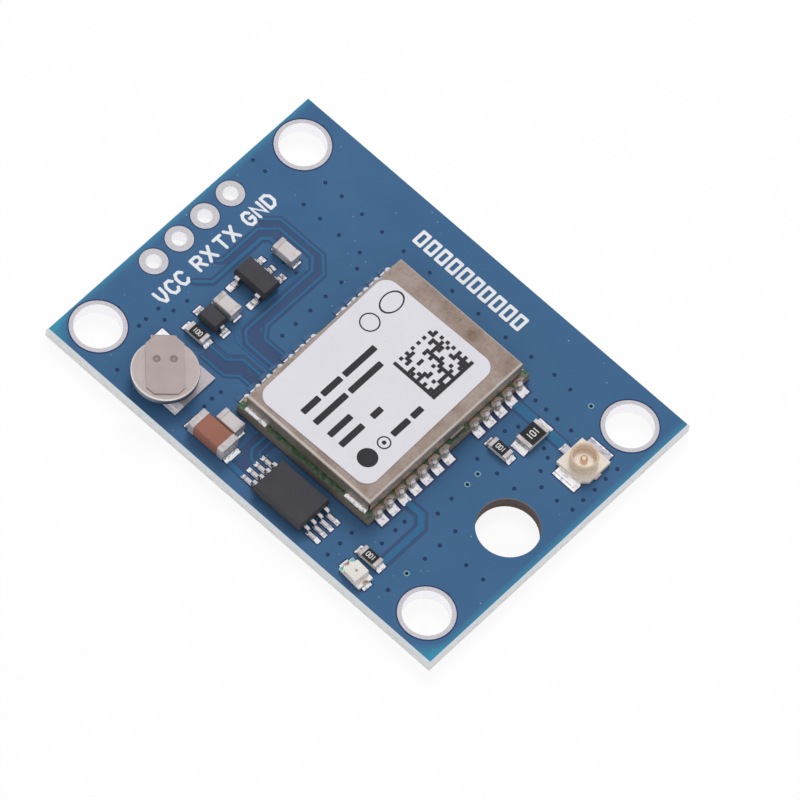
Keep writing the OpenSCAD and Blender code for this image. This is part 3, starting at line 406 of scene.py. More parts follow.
def solder_finish(name, bright, dull, metal=1.0):
    """Solder of a pad or a fillet."""
    finish = Finish(name, SOLDER_GRAIN)
    tint, lumps = facets(finish, bright, dull)
    return finish.surface(tint, 0.2, 0.16, metal, lumps, SOLDER_DEPTH)


# Shapes


def circle(x, y, radius, count=20, stretch=1.0):
    """Points round a circle, or round an oval that is stretched along Y."""
    turns = [2 * math.pi * i / count for i in range(count)]
    return [Vector((x + radius * math.cos(t), y + radius * stretch * math.sin(t))) for t in turns]


def box_outline(x_low, x_high, y_low, y_high, radius=0.05, count=3):
    """A rectangle with rounded corners."""
    right, left = x_high - radius, x_low + radius
    back, front = y_high - radius, y_low + radius
    points = []
    for quarter, (x, y) in enumerate([(right, back), (left, back), (left, front), (right, front)]):
        turns = [math.pi / 2 * (quarter + i / count) for i in range(count + 1)]
        points += [Vector((x + radius * math.cos(t), y + radius * math.sin(t))) for t in turns]
    return points


def placed(points, turn, x, y):
    """Points turned about their origin and then moved."""
    spin = Matrix.Rotation(turn, 2)
    return [spin @ Vector(p) + Vector((x, y)) for p in points]


def side_step(before, after, half):
    """How far a corner of a line moves sideways, with the corner's mitre kept short."""
    sides = [Vector((-d.y, d.x)) for d in (before, after)]
    mitre = (sides[0] + sides[1]).normalized()
    return mitre * min(half / max(mitre.dot(sides[0]), 0.1), half * LONGEST_MITRE)


def ribbon(line, width, closed=False, cap=5):
    """The outline of a line with round ends, or the inner and outer outlines of one closed anticlockwise."""
    points = [Vector(p) for p in line]
    half = width / 2
    count = len(points)
    left, right = [], []
    for i, point in enumerate(points):
        before = (point - points[i - 1]).normalized() if i or closed else None
        after = (points[(i + 1) % count] - point).normalized() if i + 1 < count or closed else None
        step = side_step(before or after, after or before, half)
        left.append(point + step)
        right.append(point - step)
    if closed:
        return left, right
    ends = []
    for point, beside in ((points[-1], left[-1]), (points[0], right[0])):
        arm = beside - point
        ends.append([point + Matrix.Rotation(-math.pi * k / cap, 2) @ arm for k in range(1, cap)])
    return ends[1] + left + ends[0] + right[::-1]


class Sheet:
    """Thin closed solids on one face, gathered into one mesh."""

    # How far a solid reaches below its face, and how far its top lies above the top of the one before
    SINK = 0.004
    HAIR = 0.0002

    def __init__(self, face, rise):
        self.low = face - self.SINK
        self.high = face + rise
        self.rise = rise
        self.vertices = []
        self.faces = []

    def top(self):
        """The height of the next solid, so that no faces that overlap lie in one plane."""
        self.high += self.HAIR
        return self.high

    def loops(self, rings):
        start = len(self.vertices)
        for outline, height in rings:
            self.vertices += [(p[0] * MM, p[1] * MM, height * MM) for p in outline]
        return start, len(rings[0][0])

    def walls(self, start, count, low, high):
        a, b = start + low * count, start + high * count
        for i in range(count):
            j = (i + 1) % count
            self.faces.append((a + i, a + j, b + j, b + i))

    def stack(self, rings):
        """A solid through outlines of equal count, from the lowest to the highest, each with its height."""
        first = rings[0][0]
        if sum(a.cross(b) for a, b in zip(first, first[1:] + first[:1])) < 0:
            rings = [(outline[::-1], height) for outline, height in rings]
        start, count = self.loops(rings)
        self.faces.append(tuple(reversed(range(start, start + count))))
        for low in range(len(rings) - 1):
            self.walls(start, count, low, low + 1)
        last = start + (len(rings) - 1) * count
        self.faces.append(tuple(range(last, last + count)))

    def field(self, outline):
        """A flat field."""
        outline = [Vector(p) for p in outline]
        self.stack([(outline, self.low), (outline, self.top())])

    def line(self, points, width):
        """A raised line with a softened top edge."""
        soft = min(self.rise * 0.7, width * 0.25)
        wide, narrow = ribbon(points, width), ribbon(points, width - 2 * soft)
        top = self.top()
        self.stack([(wide, self.low), (wide, top - soft * 0.8), (narrow, top)])

    def band(self, outer, inner):
        """A flat ring between two outlines of equal count, both anticlockwise."""
        low, top = self.low, self.top()
        rings = [(outer, low), (outer, top), (inner, top), (inner, low)]
        start, count = self.loops(rings)
        for ring in range(len(rings)):
            self.walls(start, count, ring, (ring + 1) % len(rings))

    def loop(self, points, width):
        """A closed line."""
        inner, outer = ribbon(points, width, closed=True)
        self.band(outer, inner)

    def piece(self, name, finish, slot):
        """The mesh as a piece that rides on the board."""
        mesh = bpy.data.meshes.new(name)
        mesh.from_pydata(self.vertices, [], self.faces)
        mesh.materials.append(finish.material)
        piece = bpy.data.objects.new(name, mesh)
        bpy.context.scene.collection.objects.link(piece)
        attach(piece, "root")


def dress(node, finish, bevel=0.0):
    """Give a CAD node its finish, and soften its edges by a bevel in millimetres."""
    piece = NODES[node]
    piece.data.materials.clear()
    piece.data.materials.append(finish.material)
    if bevel:
        weld = piece.modifiers.new("Weld", "WELD")
        weld.merge_threshold = WELD_REACH * MM
        edge = piece.modifiers.new("Edge", "BEVEL")
        edge.width = bevel * MM
        edge.segments = BEVEL_STEPS
        edge.limit_method = "ANGLE"
        edge.angle_limit = BEVEL_ANGLE
        edge.harden_normals = False
        piece.modifiers.new("Normals", "WEIGHTED_NORMAL")


def islands(node):
    """The outline of each separate part of a CAD node, seen from above."""
    mesh = NODES[node].data
    spots = {}
    owner = [spots.setdefault(tuple(round(c / MM, 3) for c in v.co), len(spots)) for v in mesh.vertices]
    places = list(spots)
    group = list(range(len(places)))

    def root(i):
        while group[i] != i:
            group[i] = group[group[i]]
            i = group[i]
        return i

    for polygon in mesh.polygons:
        first = root(owner[polygon.vertices[0]])
        for vertex in polygon.vertices[1:]:
            group[root(owner[vertex])] = first
    parts = {}
    for i, place in enumerate(places):
        parts.setdefault(root(i), []).append(Vector(place[:2]))
    return [[points[k] for k in convex_hull_2d(points)] for points in parts.values()]


# Copper under the mask: the width of each trace, the gap beside it and its points
TRACES = [
    (0.2, 0.17, [(-13.5, 3.57), (-12.5, 4.6), (-8.57, 4.6), (-7.5, 3.53), (-7.5, -2.13), (-6.88, -2.96),
                 (-4.9, -2.96)]),
    (0.2, 0.17, [(-13.3, -0.9), (-13.07, -0.65), (-13.07, 2.93), (-12.05, 4.0), (-8.97, 4.0),
                 (-8.25, 3.2), (-8.25, -3.43), (-7.5, -4.08), (-4.9, -4.08)]),
    (0.28, 0.17, [(-13.3, -3.2), (-12.38, -2.28), (-12.38, 2.55), (-11.95, 2.98), (-11.4, 2.98)]),
    (0.14, 0.0, [(-8.72, 2.95), (-8.72, -3.95), (-8.1, -4.5), (-4.9, -4.5)]),
    (0.2, 0.1, [(-9.15, -6.0), (-7.63, -6.0), (-6.8, -5.2), (-4.9, -5.18)]),
    (0.2, 0.1, [(-9.0, -7.0), (-6.9, -7.0), (-6.1, -6.27), (-4.9, -6.28)]),
    (0.5, 0.24, [(8.3, -5.18), (9.7, -5.18), (10.38, -5.95), (10.38, -9.6)]),
    (0.75, 0.16, [(8.3, 5.6), (12.9, 5.6)]),
    (0.22, 0.1, [(-1.7, -8.38), (-1.7, -9.75), (-1.2, -10.3), (-0.75, -10.38)]),
    (0.2, 0.1, [(-1.18, -8.38), (-1.18, -9.5), (-1.0, -9.73), (-0.75, -9.73)]),
    (0.4, 0.12, [(-2.0, -11.6), (-0.75, -11.65)]),
]

# Gaps in the copper: the width and the points of each line, and the outline of each field
GAP_LINES = [
    (0.14, [(-8.5, 2.9), (-8.5, -3.5), (-7.55, -4.38), (-4.9, -4.38)]),
    (0.14, [(-9.0, -5.65), (-7.75, -5.65), (-6.95, -4.88), (-4.9, -4.88)]),
]
GAP_FIELDS = [
    [(-13.5, 3.57), (-12.5, 4.6), (-8.57, 4.6), (-7.5, 3.53), (-7.5, -2.4), (-8.25, -3.2), (-8.25, 3.2),
     (-8.97, 4.0), (-12.05, 4.0), (-13.07, 2.93)],
    [(-13.07, -0.6), (-13.07, 2.93), (-12.05, 4.0), (-11.5, 4.0), (-11.5, 3.05), (-12.0, 3.05), (-12.38, 2.6),
     (-12.38, -0.6)],
    [(-9.1, -6.1), (-7.6, -6.1), (-6.75, -5.3), (-4.42, -5.3), (-4.42, -6.15), (-6.15, -6.15), (-6.95, -6.88),
     (-9.1, -6.88)],
    [(-7.9, -2.4), (-6.9, -3.1), (-4.42, -3.1), (-4.42, -3.96), (-7.45, -3.96), (-8.1, -3.4)],
    [(-2.3, -8.4), (-0.75, -8.4), (-0.75, -9.4), (-0.95, -9.5), (-0.95, -11.35), (-1.9, -11.35),
     (-1.95, -10.4), (-2.3, -10.3)],
    [(7.78, -7.9), (8.64, -7.9), (8.64, -0.26), (7.78, -0.26)],
    [(7.78, 1.7), (8.64, 1.7), (8.64, 7.14), (7.78, 7.14)],
]

# How far the gap along the carrier board reaches beyond its edges, and back under it
CARRIER_GAP = (0.1, -0.2)

# Small holes, with the outer and inner radius of the ring of mask at each
FILLED_VIAS = [
    (-12.33, 8.9), (-10.82, 8.93), (-8.9, 8.9), (-6.99, 8.86), (-4.94, 8.84), (-2.54, 8.88), (-17.0, 6.62),
    (-15.83, 6.57), (-12.21, 6.57), (-10.66, 6.57), (-8.89, 6.57), (-6.97, 6.6), (-6.23, 5.55), (-6.25, 4.0),
    (-6.25, 2.43), (-6.23, 0.88), (-6.23, -0.59), (-6.23, -1.91), (-12.59, -4.59), (-12.73, -5.8),
    (-13.55, -6.44), (-12.66, -6.76), (-13.58, -7.62), (-13.55, -8.34), (-12.24, -11.85), (-6.16, -8.05),
    (-6.24, -8.85), (-6.2, -9.66), (-8.9, 2.31), (-10.06, 2.31), (-0.52, 8.95), (1.93, 8.93), (4.48, 8.93),
    (6.72, 9.07), (8.76, 9.19), (10.29, 9.12), (9.19, 6.81), (10.17, 6.81), (11.2, 6.83), (12.45, 6.84),
    (16.64, 6.91), (16.6, 5.79), (16.64, 4.64), (16.62, 3.5), (16.6, 2.45), (9.74, 4.47), (9.33, 3.57),
    (12.09, 4.5), (12.76, 4.16), (13.1, 3.07), (13.98, 2.19), (15.41, 2.19), (9.47, 0.67), (11.16, 0.81),
    (12.76, 0.79), (10.31, -2.81), (10.43, -4.31), (12.17, -4.45), (12.17, -5.98), (14.43, -5.81),
    (15.97, -5.79), (12.16, -7.45), (9.29, -6.38), (9.29, -7.29), (9.33, -8.67), (7.36, -9.55),
    (7.36, -10.69), (7.36, -11.91), (12.02, -10.95),
]
FILLED_RADII = (0.14, 0.04)
OPEN_VIAS = [(12.14, 9.19), (10.28, -0.16), (10.33, -1.26), (12.05, -9.14)]
OPEN_RADII = (0.22, 0.13)
BORE_RADIUS = 0.14

# Heights of filled holes, open rings, their bores, digits on resistors and marks on the lamp
FILLED_RISE, RING_RISE, BORE_RISE, DIGIT_RISE, MARK_RISE = 0.01, 0.014, 0.006, 0.006, 0.008

# Width of the rim of mask round each soldered or plated part
SOLDERED = ["edge", "regulator", "diode", "memory", "chip", "coax", "cell"]
RIM_WIDTHS = {name + "_solder": 0.07 for name in SOLDERED}
RIM_WIDTHS.update(mounting_hole_plating=0.08, pin_hole_plating=0.05)

# Strokes of the pin names, in shares of a letter's width and height
ARC = [(1, 0.8), (0.75, 1), (0.28, 1), (0, 0.72), (0, 0.28), (0.28, 0), (0.75, 0), (1, 0.2)]
LETTERS = {
    "V": [[(0, 1), (0.06, 0.42), (0.4, 0), (0.6, 0), (0.94, 0.42), (1, 1)]],
    "C": [ARC],
    "R": [[(0, 0), (0, 1)], [(0, 1), (0.72, 1), (1, 0.88), (1, 0.62), (0.72, 0.48), (0, 0.48)],
          [(0.5, 0.48), (1, 0)]],
    "X": [[(0, 0), (1, 1)], [(0, 1), (1, 0)]],
    "T": [[(0, 1), (1, 1)], [(0.5, 1), (0.5, 0)]],
    "G": [[*ARC, (1, 0.46), (0.6, 0.46)]],
    "N": [[(0, 0), (0, 1), (1, 0), (1, 1)]],
    "D": [[(0, 0), (0, 1)], [(0, 1), (0.62, 1), (1, 0.72), (1, 0.28), (0.62, 0), (0, 0)]],
}
PIN_NAMES = [
    ("V", -5.57), ("C", -4.57), ("C", -3.6), ("R", -1.92), ("X", -0.87), ("T", 0.37), ("X", 1.38),
    ("G", 3.05), ("N", 4.05), ("D", 5.05),
]

# Marks on the label: bars as x and y limits, rings as centre, radius and stretch along Y
LABEL_BARS = [
    (-0.7, -0.22, -6.35, -4.7), (-0.7, -0.22, -4.4, -2.55), (-0.7, -0.22, -2.25, 0.85),
    (0.44, 0.92, -6.35, -3.2), (0.44, 0.92, -2.9, 0.25),
    (1.76, 2.24, -6.35, -4.18),
    (2.81, 3.29, -6.35, -4.12), (2.81, 3.29, -3.24, -2.28),
    (4.7, 5.18, -3.24, -1.6), (4.7, 5.18, -1.3, -0.3),
]
BAR_CORNER = 0.08
LABEL_RINGS = [(-2.04, 4.19, 0.69, 1.4), (-2.02, 1.98, 0.69, 1.0), (4.95, -4.08, 0.45, 1.0)]
RING_STROKE = 0.1

# Dots as centre and radius, and the patch as x and y limits and the count of squares along a side
LABEL_DOTS = [(4.95, -5.72, 0.735), (4.95, -4.08, 0.16)]
PATCH = (1.24, 5.08, 0.74, 4.76, 14)

# The number on each resistor, its turn and the height of its digits
RESISTOR_NUMBERS = {
    "supply": ("100", 0.0, 0.34),
    "lamp": ("100", math.pi, 0.34),
    "signal": ("100", math.pi, 0.34),
    "aerial": ("101", math.pi / 2, 0.46),
}

# The largest stain on the cover, and the two welds of the cell's tab from the cell's centre
BLOT = (3.5, 6.3)
WELDS = [(-0.947, 0.127), (-0.127, 0.947)]


# Finishes of single parts


def laminate_finish(look):
    """Mask with bare margins and dust on the level faces, and glass fibres on the cut ones."""
    low, high = (Vector(corner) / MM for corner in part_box("circuit_board"))
    finish = Finish("mask_laminate", 0.1)
    x, y, z = finish.place()
    level = finish.level()
    clouds = finish.patches(4.0, 0.3, 0.7, seed=1.0)
    mask = finish.blend(look.mask, look.mask_deep, clouds * 0.7 + finish.speckle(0.5, 0.8) * 0.3)
    side = high.x - abs(x)
    corner = side + y - low.y
    bare = side.ramp(0.65, 0.1) * 0.65 + corner.ramp(2.3, 1.1) * 0.7
    mask = finish.blend(mask, look.margin, bare.smallest(1.0))
    dust = finish.specks(0.9, 0.06) * 0.35 + finish.specks(1.7, 0.04) * 0.5
    mask = finish.blend(mask, look.dust, dust)
    fibres = finish.grain(0.16, stretch=FIBRES)
    edge = finish.blend(look.laminate, look.laminate_deep, fibres.ramp(0.45, 0.7))
    edge = finish.blend(edge, look.bevel, level.ramp(0.25, 0.4))
    hole = MOUNTS["cable_hole"]
    bore = hole["dims"]["r_mm"]
    away = finish.away(hole["pos_m"][0] / MM, hole["pos_m"][1] / MM)
    # Painted light: the wall of the cable hole is lighter towards its top edge
    upper = z.ramp(BOARD_TOP - 0.2, BOARD_TOP - 0.05)
    wall = finish.shaded(look.drilled, 0.6, fibres.ramp(0.35, 0.7))
    wall = finish.blend(wall, look.laminate_deep, upper * 0.4)
    edge = finish.blend(wall, edge, away.ramp(bore + 0.15, bore + 0.25))
    top = level.ramp(0.75, 0.85)
    return finish.surface(finish.blend(edge, mask, top), 0.66 - top * 0.3, 0.12, specular=MATT_SPECULAR)


def plating_finish(look):
    """Tinned rings, with walls painted near white as painted light."""
    finish = Finish("hole_tin", 0.15)
    ring = finish.shaded(look.tin, 0.8, finish.speckle(0.4, 0.8))
    # Painted light: upright walls take the near-white barrel colour
    tint = finish.blend(look.lit_barrel, ring, finish.level().ramp(0.4, 0.6))
    return finish.surface(tint, 0.28, 0.12, metal=1.0, depth=0.003)


def carrier_finish(look):
    """Green mask with flux on it, and a cut edge with fibres."""
    finish = Finish("carrier_green", 0.1)
    green = finish.shaded(look.carrier, 0.7, finish.speckle(0.4, 0.8))
    green = finish.blend(green, look.tarnish_and_shade, finish.patches(0.35, 0.42, 0.58, seed=6.0) * 0.4)
    edge = finish.shaded(look.carrier_edge, 0.7, finish.patches(0.14, 0.4, 0.7, stretch=FIBRES))
    top = finish.level().ramp(0.5, 0.7)
    return finish.surface(finish.blend(edge, green, top), 0.6 - top * 0.25, 0.1)


def far_mask(finish, board, left, y):
    """Mask over the far pads' ends, with the gaps and traces that run on across them."""
    soft = 0.02
    mask = board.mask_deep
    for outline in GAP_FIELDS:
        ends = [v for u, v in outline if abs(u - left) < 0.01]
        if ends:
            first = y.ramp(min(ends) - soft, min(ends) + soft)
            last = y.ramp(max(ends) + soft, max(ends) - soft)
            mask = finish.blend(mask, board.gap, first * last)
    for width, _, line in TRACES:
        u, v = line[-1]
        if abs(u - left) < 0.6:
            trace = abs(y - v).ramp(width / 2 + soft, width / 2 - soft)
            mask = finish.blend(mask, board.trace, trace)
    return mask


def edge_solder_finish(board, look):
    """Solder at the half holes, with painted shade where it climbs the half holes on the near side, and under
    mask at the far pads' ends.
    """
    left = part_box("carrier_board")[0][0] / MM
    finish = Finish("edge_solder", SOLDER_GRAIN)
    tint, lumps = facets(finish, look.solder, look.solder_dark_reflection)
    x, y, z = finish.place()
    out = left - x
    # Painted shade on the solder that climbs the near side's half holes, half as much on the beads
    climb = z.ramp(BOARD_TOP + 0.1, BOARD_TOP + 0.2)
    bead = z.ramp(BOARD_TOP + 0.45, BOARD_TOP + 0.6)
    near = out.ramp(-1.1, -1.2)
    tint = finish.blend(tint, look.tarnish_and_shade, climb * (1.0 - bead * 0.5) * near * 0.75)
    covered = out.ramp(0.36, 0.38)
    bare = 1.0 - covered
    mask = finish.blend(board.rim, far_mask(finish, board, left, y), out.ramp(0.43, 0.47))
    tint = finish.blend(tint, mask, covered)
    metal = (1.0 - climb * (0.95 - near * 0.55)) * bare
    return finish.surface(tint, 0.2 + covered * 0.2, 0.16, metal, lumps * bare, SOLDER_DEPTH)


def foot_solder_finish(look):
    """Solder at the foot of the cover, which shows as bare wall on the near side, with painted shadow
    darkening that wall towards its foot.
    """
    right, _, top = (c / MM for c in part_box("carrier_board")[1])
    finish = Finish("shield_solder", SOLDER_GRAIN)
    tint, lumps = facets(finish, look.solder, look.solder_dark_reflection)
    x, _, z = finish.place()
    bare = x.ramp(right - 0.5, right - 0.45)
    # Painted shadow: the wall colour darkens towards the carrier board
    wall = finish.shaded(look.lit_shield_wall, 0.1, z.ramp(top + 0.14, top + 0.06))
    tint = finish.blend(tint, wall, bare)
    return finish.surface(tint, 0.2 + bare * 0.1, 0.16, 1.0 - bare * 0.3, lumps, SOLDER_DEPTH)


def contact_finish(look):
    """Worn plating on top of the half holes, and pale solder colour painted down inside them as painted light
    in the crevice.
    """
    finish = Finish("edge_gold", 0.2)
    top = finish.level().ramp(0.5, 0.7)
    wear = finish.patches(0.6, 0.35, 0.75, seed=7.0) * 0.7 + finish.speckle(0.5, 0.8) * 0.3
    worn = finish.blend(look.contact_worn, look.contact, wear)
    # Painted light: the upright walls inside the half holes take the pale solder colour and little metal
    return finish.surface(finish.blend(look.solder, worn, top), 0.25, 0.2, 0.2 + top * 0.8)


def cover_finish(look):
    """Folded sheet with painted highlights on its bends, upright walls painted lighter than the top as
    painted light, and flux stains.
    """
    finish = Finish("shield_metal", 0.12, ROLLED)
    stains = finish.patches(1.8, 0.42, 0.7, detail=6.0, seed=4.0)
    grit = finish.patches(0.22, 0.45, 0.7, detail=4.0, seed=8.0)
    blot = (finish.away(*BLOT) + (stains - 0.5) * 0.4).ramp(0.7, 0.3)
    _, y, _ = finish.place()
    share = stains * 0.5 + y.ramp(5.0, 8.0) * 0.2 + finish.specks(1.1, 0.12) * 0.3
    share = share + blot * 0.5 + grit * 0.3
    level = finish.level()
    # Painted highlight on the bends, and upright walls painted lighter than the level top
    bend_highlight = level.ramp(0.2, 0.4) * level.ramp(0.86, 0.66)
    tint = finish.blend(look.lit_shield_wall, look.shield, level.ramp(0.5, 0.9))
    tint = finish.blend(tint, look.shield_stain, share.smallest(1.0))
    tint = finish.blend(tint, look.shield_bend_highlight, bend_highlight * 0.75)
    return finish.surface(tint, 0.26 + stains * 0.14, 0.16, metal=0.7, depth=0.003)


def resin_finish(look, x, y):
    """Clear resin that shows the dark light chip in its middle."""
    finish = Finish("lamp_resin", 0.1)
    clear = finish.shaded(look.lamp_resin, 0.9, finish.speckle(0.4, 0.8))
    beside = finish.away(x, y).ramp(0.06, 0.14)
    tint = finish.blend(darker(look.lamp_resin, 0.35), clear, beside)
    return finish.surface(tint, 0.2, 0.1, depth=0.0, coat=0.4)


def tab_finish(look):
    """Rolled steel with painted shade in the two dents from welding."""
    x, y, _ = middle("cell_can")
    finish = Finish("tab_steel", 0.1, ROLLED)
    first, second = (finish.away(x + u, y + v) for u, v in WELDS)
    near = first.smallest(second)
    # Painted shade in the two weld dents, a dark ring round a lighter middle
    weld = near.ramp(0.3, 0.25) * (0.45 + near.ramp(0.06, 0.16) * 0.55)
    clouds = finish.patches(1.5, 0.3, 0.75, seed=5.0)
    tint = finish.shaded(look.tab, 0.84, clouds * 0.6 + finish.speckle(0.5, 0.8) * 0.3)
    return finish.surface(finish.blend(tint, look.weld_dent_shade, weld * 0.9), 0.32, 0.14, metal=0.8)


def can_finish(look):
    """Clouded steel with a painted highlight on the bend of its lip and painted shade on the crimped wall
    below it.
    """
    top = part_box("cell_can")[1][2] / MM
    finish = Finish("cell_steel", 0.14)
    clouds = finish.patches(1.0, 0.3, 0.75, seed=5.0)
    tint = finish.shaded(look.cell, 0.85, clouds * 0.6 + finish.speckle(0.5, 0.75) * 0.4)
    _, _, z = finish.place()
    level = finish.level()
    # Painted highlight on the bend of the lip, and painted shade on the wall below the lip
    lip = z.ramp(top - 0.18, top - 0.07)
    rim = level.ramp(0.1, 0.4) * level.ramp(0.97, 0.8) * lip
    tint = finish.blend(tint, look.cell_rim_highlight, rim)
    return finish.surface(finish.blend(look.cell_crimp_shade, tint, lip), 0.3, 0.14, metal=0.8)


def plate_finish(look):
    """Steel of the cap and the bottom tab, wet with solder at the tab's front end, in a solder colour painted
    lighter as painted light.
    """
    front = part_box("cell_bottom_tab")[0][1] / MM
    finish = Finish("cell_plate", 0.15)
    _, y, _ = finish.place()
    wet = (y + finish.fine * 0.6).ramp(front + 0.9, front + 0.75)
    tint = finish.shaded(look.low_tab, 0.8, finish.speckle(0.5, 0.75) * 0.5)
    # Solder at the tab's front end, painted in the lit solder colour
    tint = finish.blend(tint, look.lit_solder, wet)
    return finish.surface(tint, 0.36, 0.14, 0.5 - wet * 0.3, depth=0.006)


def socket_finish(look, x, y):
    """Cream plastic with painted light on the floor inside the ring."""
    finish = Finish("coax_cream", 0.12)
    # Painted light on the floor inside the ring, which the ring shades
    well = finish.away(x, y).ramp(0.95, 0.9)
    cream = finish.shaded(look.coax_base, 0.9, finish.speckle(0.45, 0.75))
    tint = finish.blend(cream, look.coax_lit_well, well)
    return finish.surface(tint, 0.45 - well * 0.25, 0.1, well * 0.6)


def shell_finish(look, dull, x, y):
    """Plated ring with painted light on its upright faces, a bare tongue and tinned feet, the front one
    brighter than the back one.
    """
    finish = Finish("coax_shell", 0.1)
    across, along, _ = finish.place()
    foot = abs(along - y).ramp(1.2, 1.3)
    back = (along - y).ramp(-0.5, 0.5)
    # Painted light: upright faces of the ring take the lighter wall colour
    plated = finish.blend(look.coax_lit_wall, look.coax_ring, finish.level().ramp(0.3, 0.6))
    plated = finish.blend(plated, darker(look.coax_ring, 0.75), finish.speckle(0.4, 0.8))
    lumps = finish.patches(0.4, 0.5, 0.7, detail=2.0)
    # The front foot takes the lit solder colour as painted light, and the back foot more dark facets of
    # painted reflection
    tinned = finish.blend(look.lit_solder, look.coax_foot, back)
    tinned = finish.blend(tinned, dull, lumps * (0.3 + back * 0.5))
    tint = finish.blend(plated, tinned, foot)
    tint = finish.blend(tint, look.coax_tongue, (across - x).ramp(1.1, 1.2))
    height = finish.fine * 0.05 + lumps * foot
    return finish.surface(tint, 0.26, 0.12, 0.2 + foot * 0.75, height, 0.04)


def pin_finish(look, x):
    """Gold pin with a tinned outer end."""
    finish = Finish("coax_gold", 0.1)
    across, _, _ = finish.place()
    gold = finish.shaded(look.coax_pin, 0.75, finish.speckle(0.4, 0.8))
    tint = finish.blend(look.coax_foot, gold, (across - x).ramp(-1.3, -1.2))
    return finish.surface(tint, 0.2, 0.12, metal=0.9, depth=0.003)


# Operators


class DressBoard(bpy.types.Operator):
    """Blue mask, pale cut edges and tinned rings of the board"""

    bl_idname = "receiver_board.laminate"
    bl_label = "Board"

    def execute(self, context):
        look = context.scene.board_look
        tin = plating_finish(look)
        dress("circuit_board", laminate_finish(look))
        dress("mounting_hole_plating", tin)
        dress("pin_hole_plating", tin)
        return {"FINISHED"}


class LayCopper(bpy.types.Operator):
    """Traces, gaps and small holes that show through the mask"""

    bl_idname = "receiver_board.copper"
    bl_label = "Copper"

    def rims(self, look):
        """Edges of the mask round the pads, apart from the receiver's far pads, which run under it."""
        rims = Sheet(BOARD_TOP, look.rim_rise / MM)
        for node, width in RIM_WIDTHS.items():
            for outline in islands(node):
                if node != "edge_solder" or outline[0].x > 0.0:
                    _, outer = ribbon(outline, 2 * width, closed=True)
                    rims.band(outer, outline)
        rims.piece("pad_rims", matt_finish("pad_rim", look.rim, 0.85, 0.42), "mask_board")

    def gaps(self, look):
        """Gaps beside the traces, wider fields without copper, and the gap along the carrier board."""
        gaps = Sheet(BOARD_TOP, look.gap_rise / MM)
        for outline in GAP_FIELDS:
            gaps.field(outline)
        for width, gap, line in TRACES:
            if gap:
                gaps.line(line, width + 2 * gap)
        for width, line in GAP_LINES:
            gaps.line(line, width)
        low, high = (Vector(corner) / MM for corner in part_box("carrier_board"))
        outer, inner = (
            box_outline(low.x - by, high.x + by, low.y - by, high.y + by) for by in CARRIER_GAP
        )
        gaps.band(outer, inner)
        gaps.piece("mask_gaps", matt_finish("mask_gap", look.gap, 0.85, 0.42), "mask_board")

    def vias(self, look):
        """Small holes, some of them filled by the mask, with dark discs of painted shade in the open ones."""
        filled = Sheet(BOARD_TOP, FILLED_RISE)
        for x, y in FILLED_VIAS:
            filled.band(*(circle(x, y, radius) for radius in FILLED_RADII))
        filled.piece("filled_vias", matt_finish("via_mask", look.via, 0.8, 0.4), "mask_board")
        rings = Sheet(BOARD_TOP, RING_RISE)
        # Painted shade: dark discs in the open holes
        bores = Sheet(BOARD_TOP, BORE_RISE)
        for x, y in OPEN_VIAS:
            rings.band(*(circle(x, y, radius) for radius in OPEN_RADII))
            bores.field(circle(x, y, BORE_RADIUS))
        rings.piece("via_rings", matt_finish("via_ring", look.via_ring, 0.8, 0.35), "mask_board")
        bores.piece("via_bore_shades", matt_finish("via_bore_shade", look.via_bore_shade, 0.6, 0.6), "mask_board")

    def execute(self, context):
        look = context.scene.board_look
        self.rims(look)
        self.gaps(look)
        traces = Sheet(BOARD_TOP, look.trace_rise / MM)
        for width, _, line in TRACES:
            traces.line(line, width)
        traces.piece("mask_traces", matt_finish("mask_trace", look.trace, 0.9, 0.38), "mask_board")
        self.vias(look)
        return {"FINISHED"}


class PrintBoard(bpy.types.Operator):
    """White pin names and a row of blank boxes"""

    bl_idname = "receiver_board.print"
    bl_label = "Board print"

    def execute(self, context):
        look = context.scene.board_look
        sheet = Sheet(BOARD_TOP, look.print_rise / MM)
        base, height, width, stroke = -13.55, 1.0, 0.64, 0.24
        for letter, place in PIN_NAMES:
            for line in LETTERS[letter]:
                sheet.line([(base - v * height, place + (u - 0.5) * width) for u, v in line], stroke)
        low, high, front, back, count, gap = -5.1, 4.75, 9.8, 11.05, 10, 0.2
        step = (high - low + gap) / count
        for i in range(count):
            left = low + i * step
            right = left + step - gap
            outer = box_outline(left, right, front, back, 0.1)
            inner = box_outline(left + stroke, right - stroke, front + stroke, back - stroke, 0.04)
            sheet.band(outer, inner)
        white = matt_finish("print_white", look.print_white, 0.86, 0.6, size=0.06, depth=0.006)
        sheet.piece("board_print", white, "label_film")
        return {"FINISHED"}


class DressReceiver(bpy.types.Operator):
    """Carrier board, half holes, solder and folded cover of the receiver"""

    bl_idname = "receiver_board.receiver"
    bl_label = "Receiver"

    def execute(self, context):
        look = context.scene.receiver_look
        dress("carrier_board", carrier_finish(look))
        dress("edge_solder", edge_solder_finish(context.scene.board_look, look))
        dress("shield_solder", foot_solder_finish(look))
        dress("edge_contacts", contact_finish(look))
        dress("shield_can", cover_finish(look))
        pale = matt_finish("inside_ceramic", look.label, 0.8, 0.5)
        dress("receiver_chip", matt_finish("inside_mould", look.inside, 0.8, 0.5), 0.05)
        dress("receiver_crystal", metal_finish("crystal_metal", look.solder, 0.8, 0.3), 0.05)
        dress("aerial_filter", pale, 0.03)
        dress("receiver_passives", pale, 0.03)
        return {"FINISHED"}


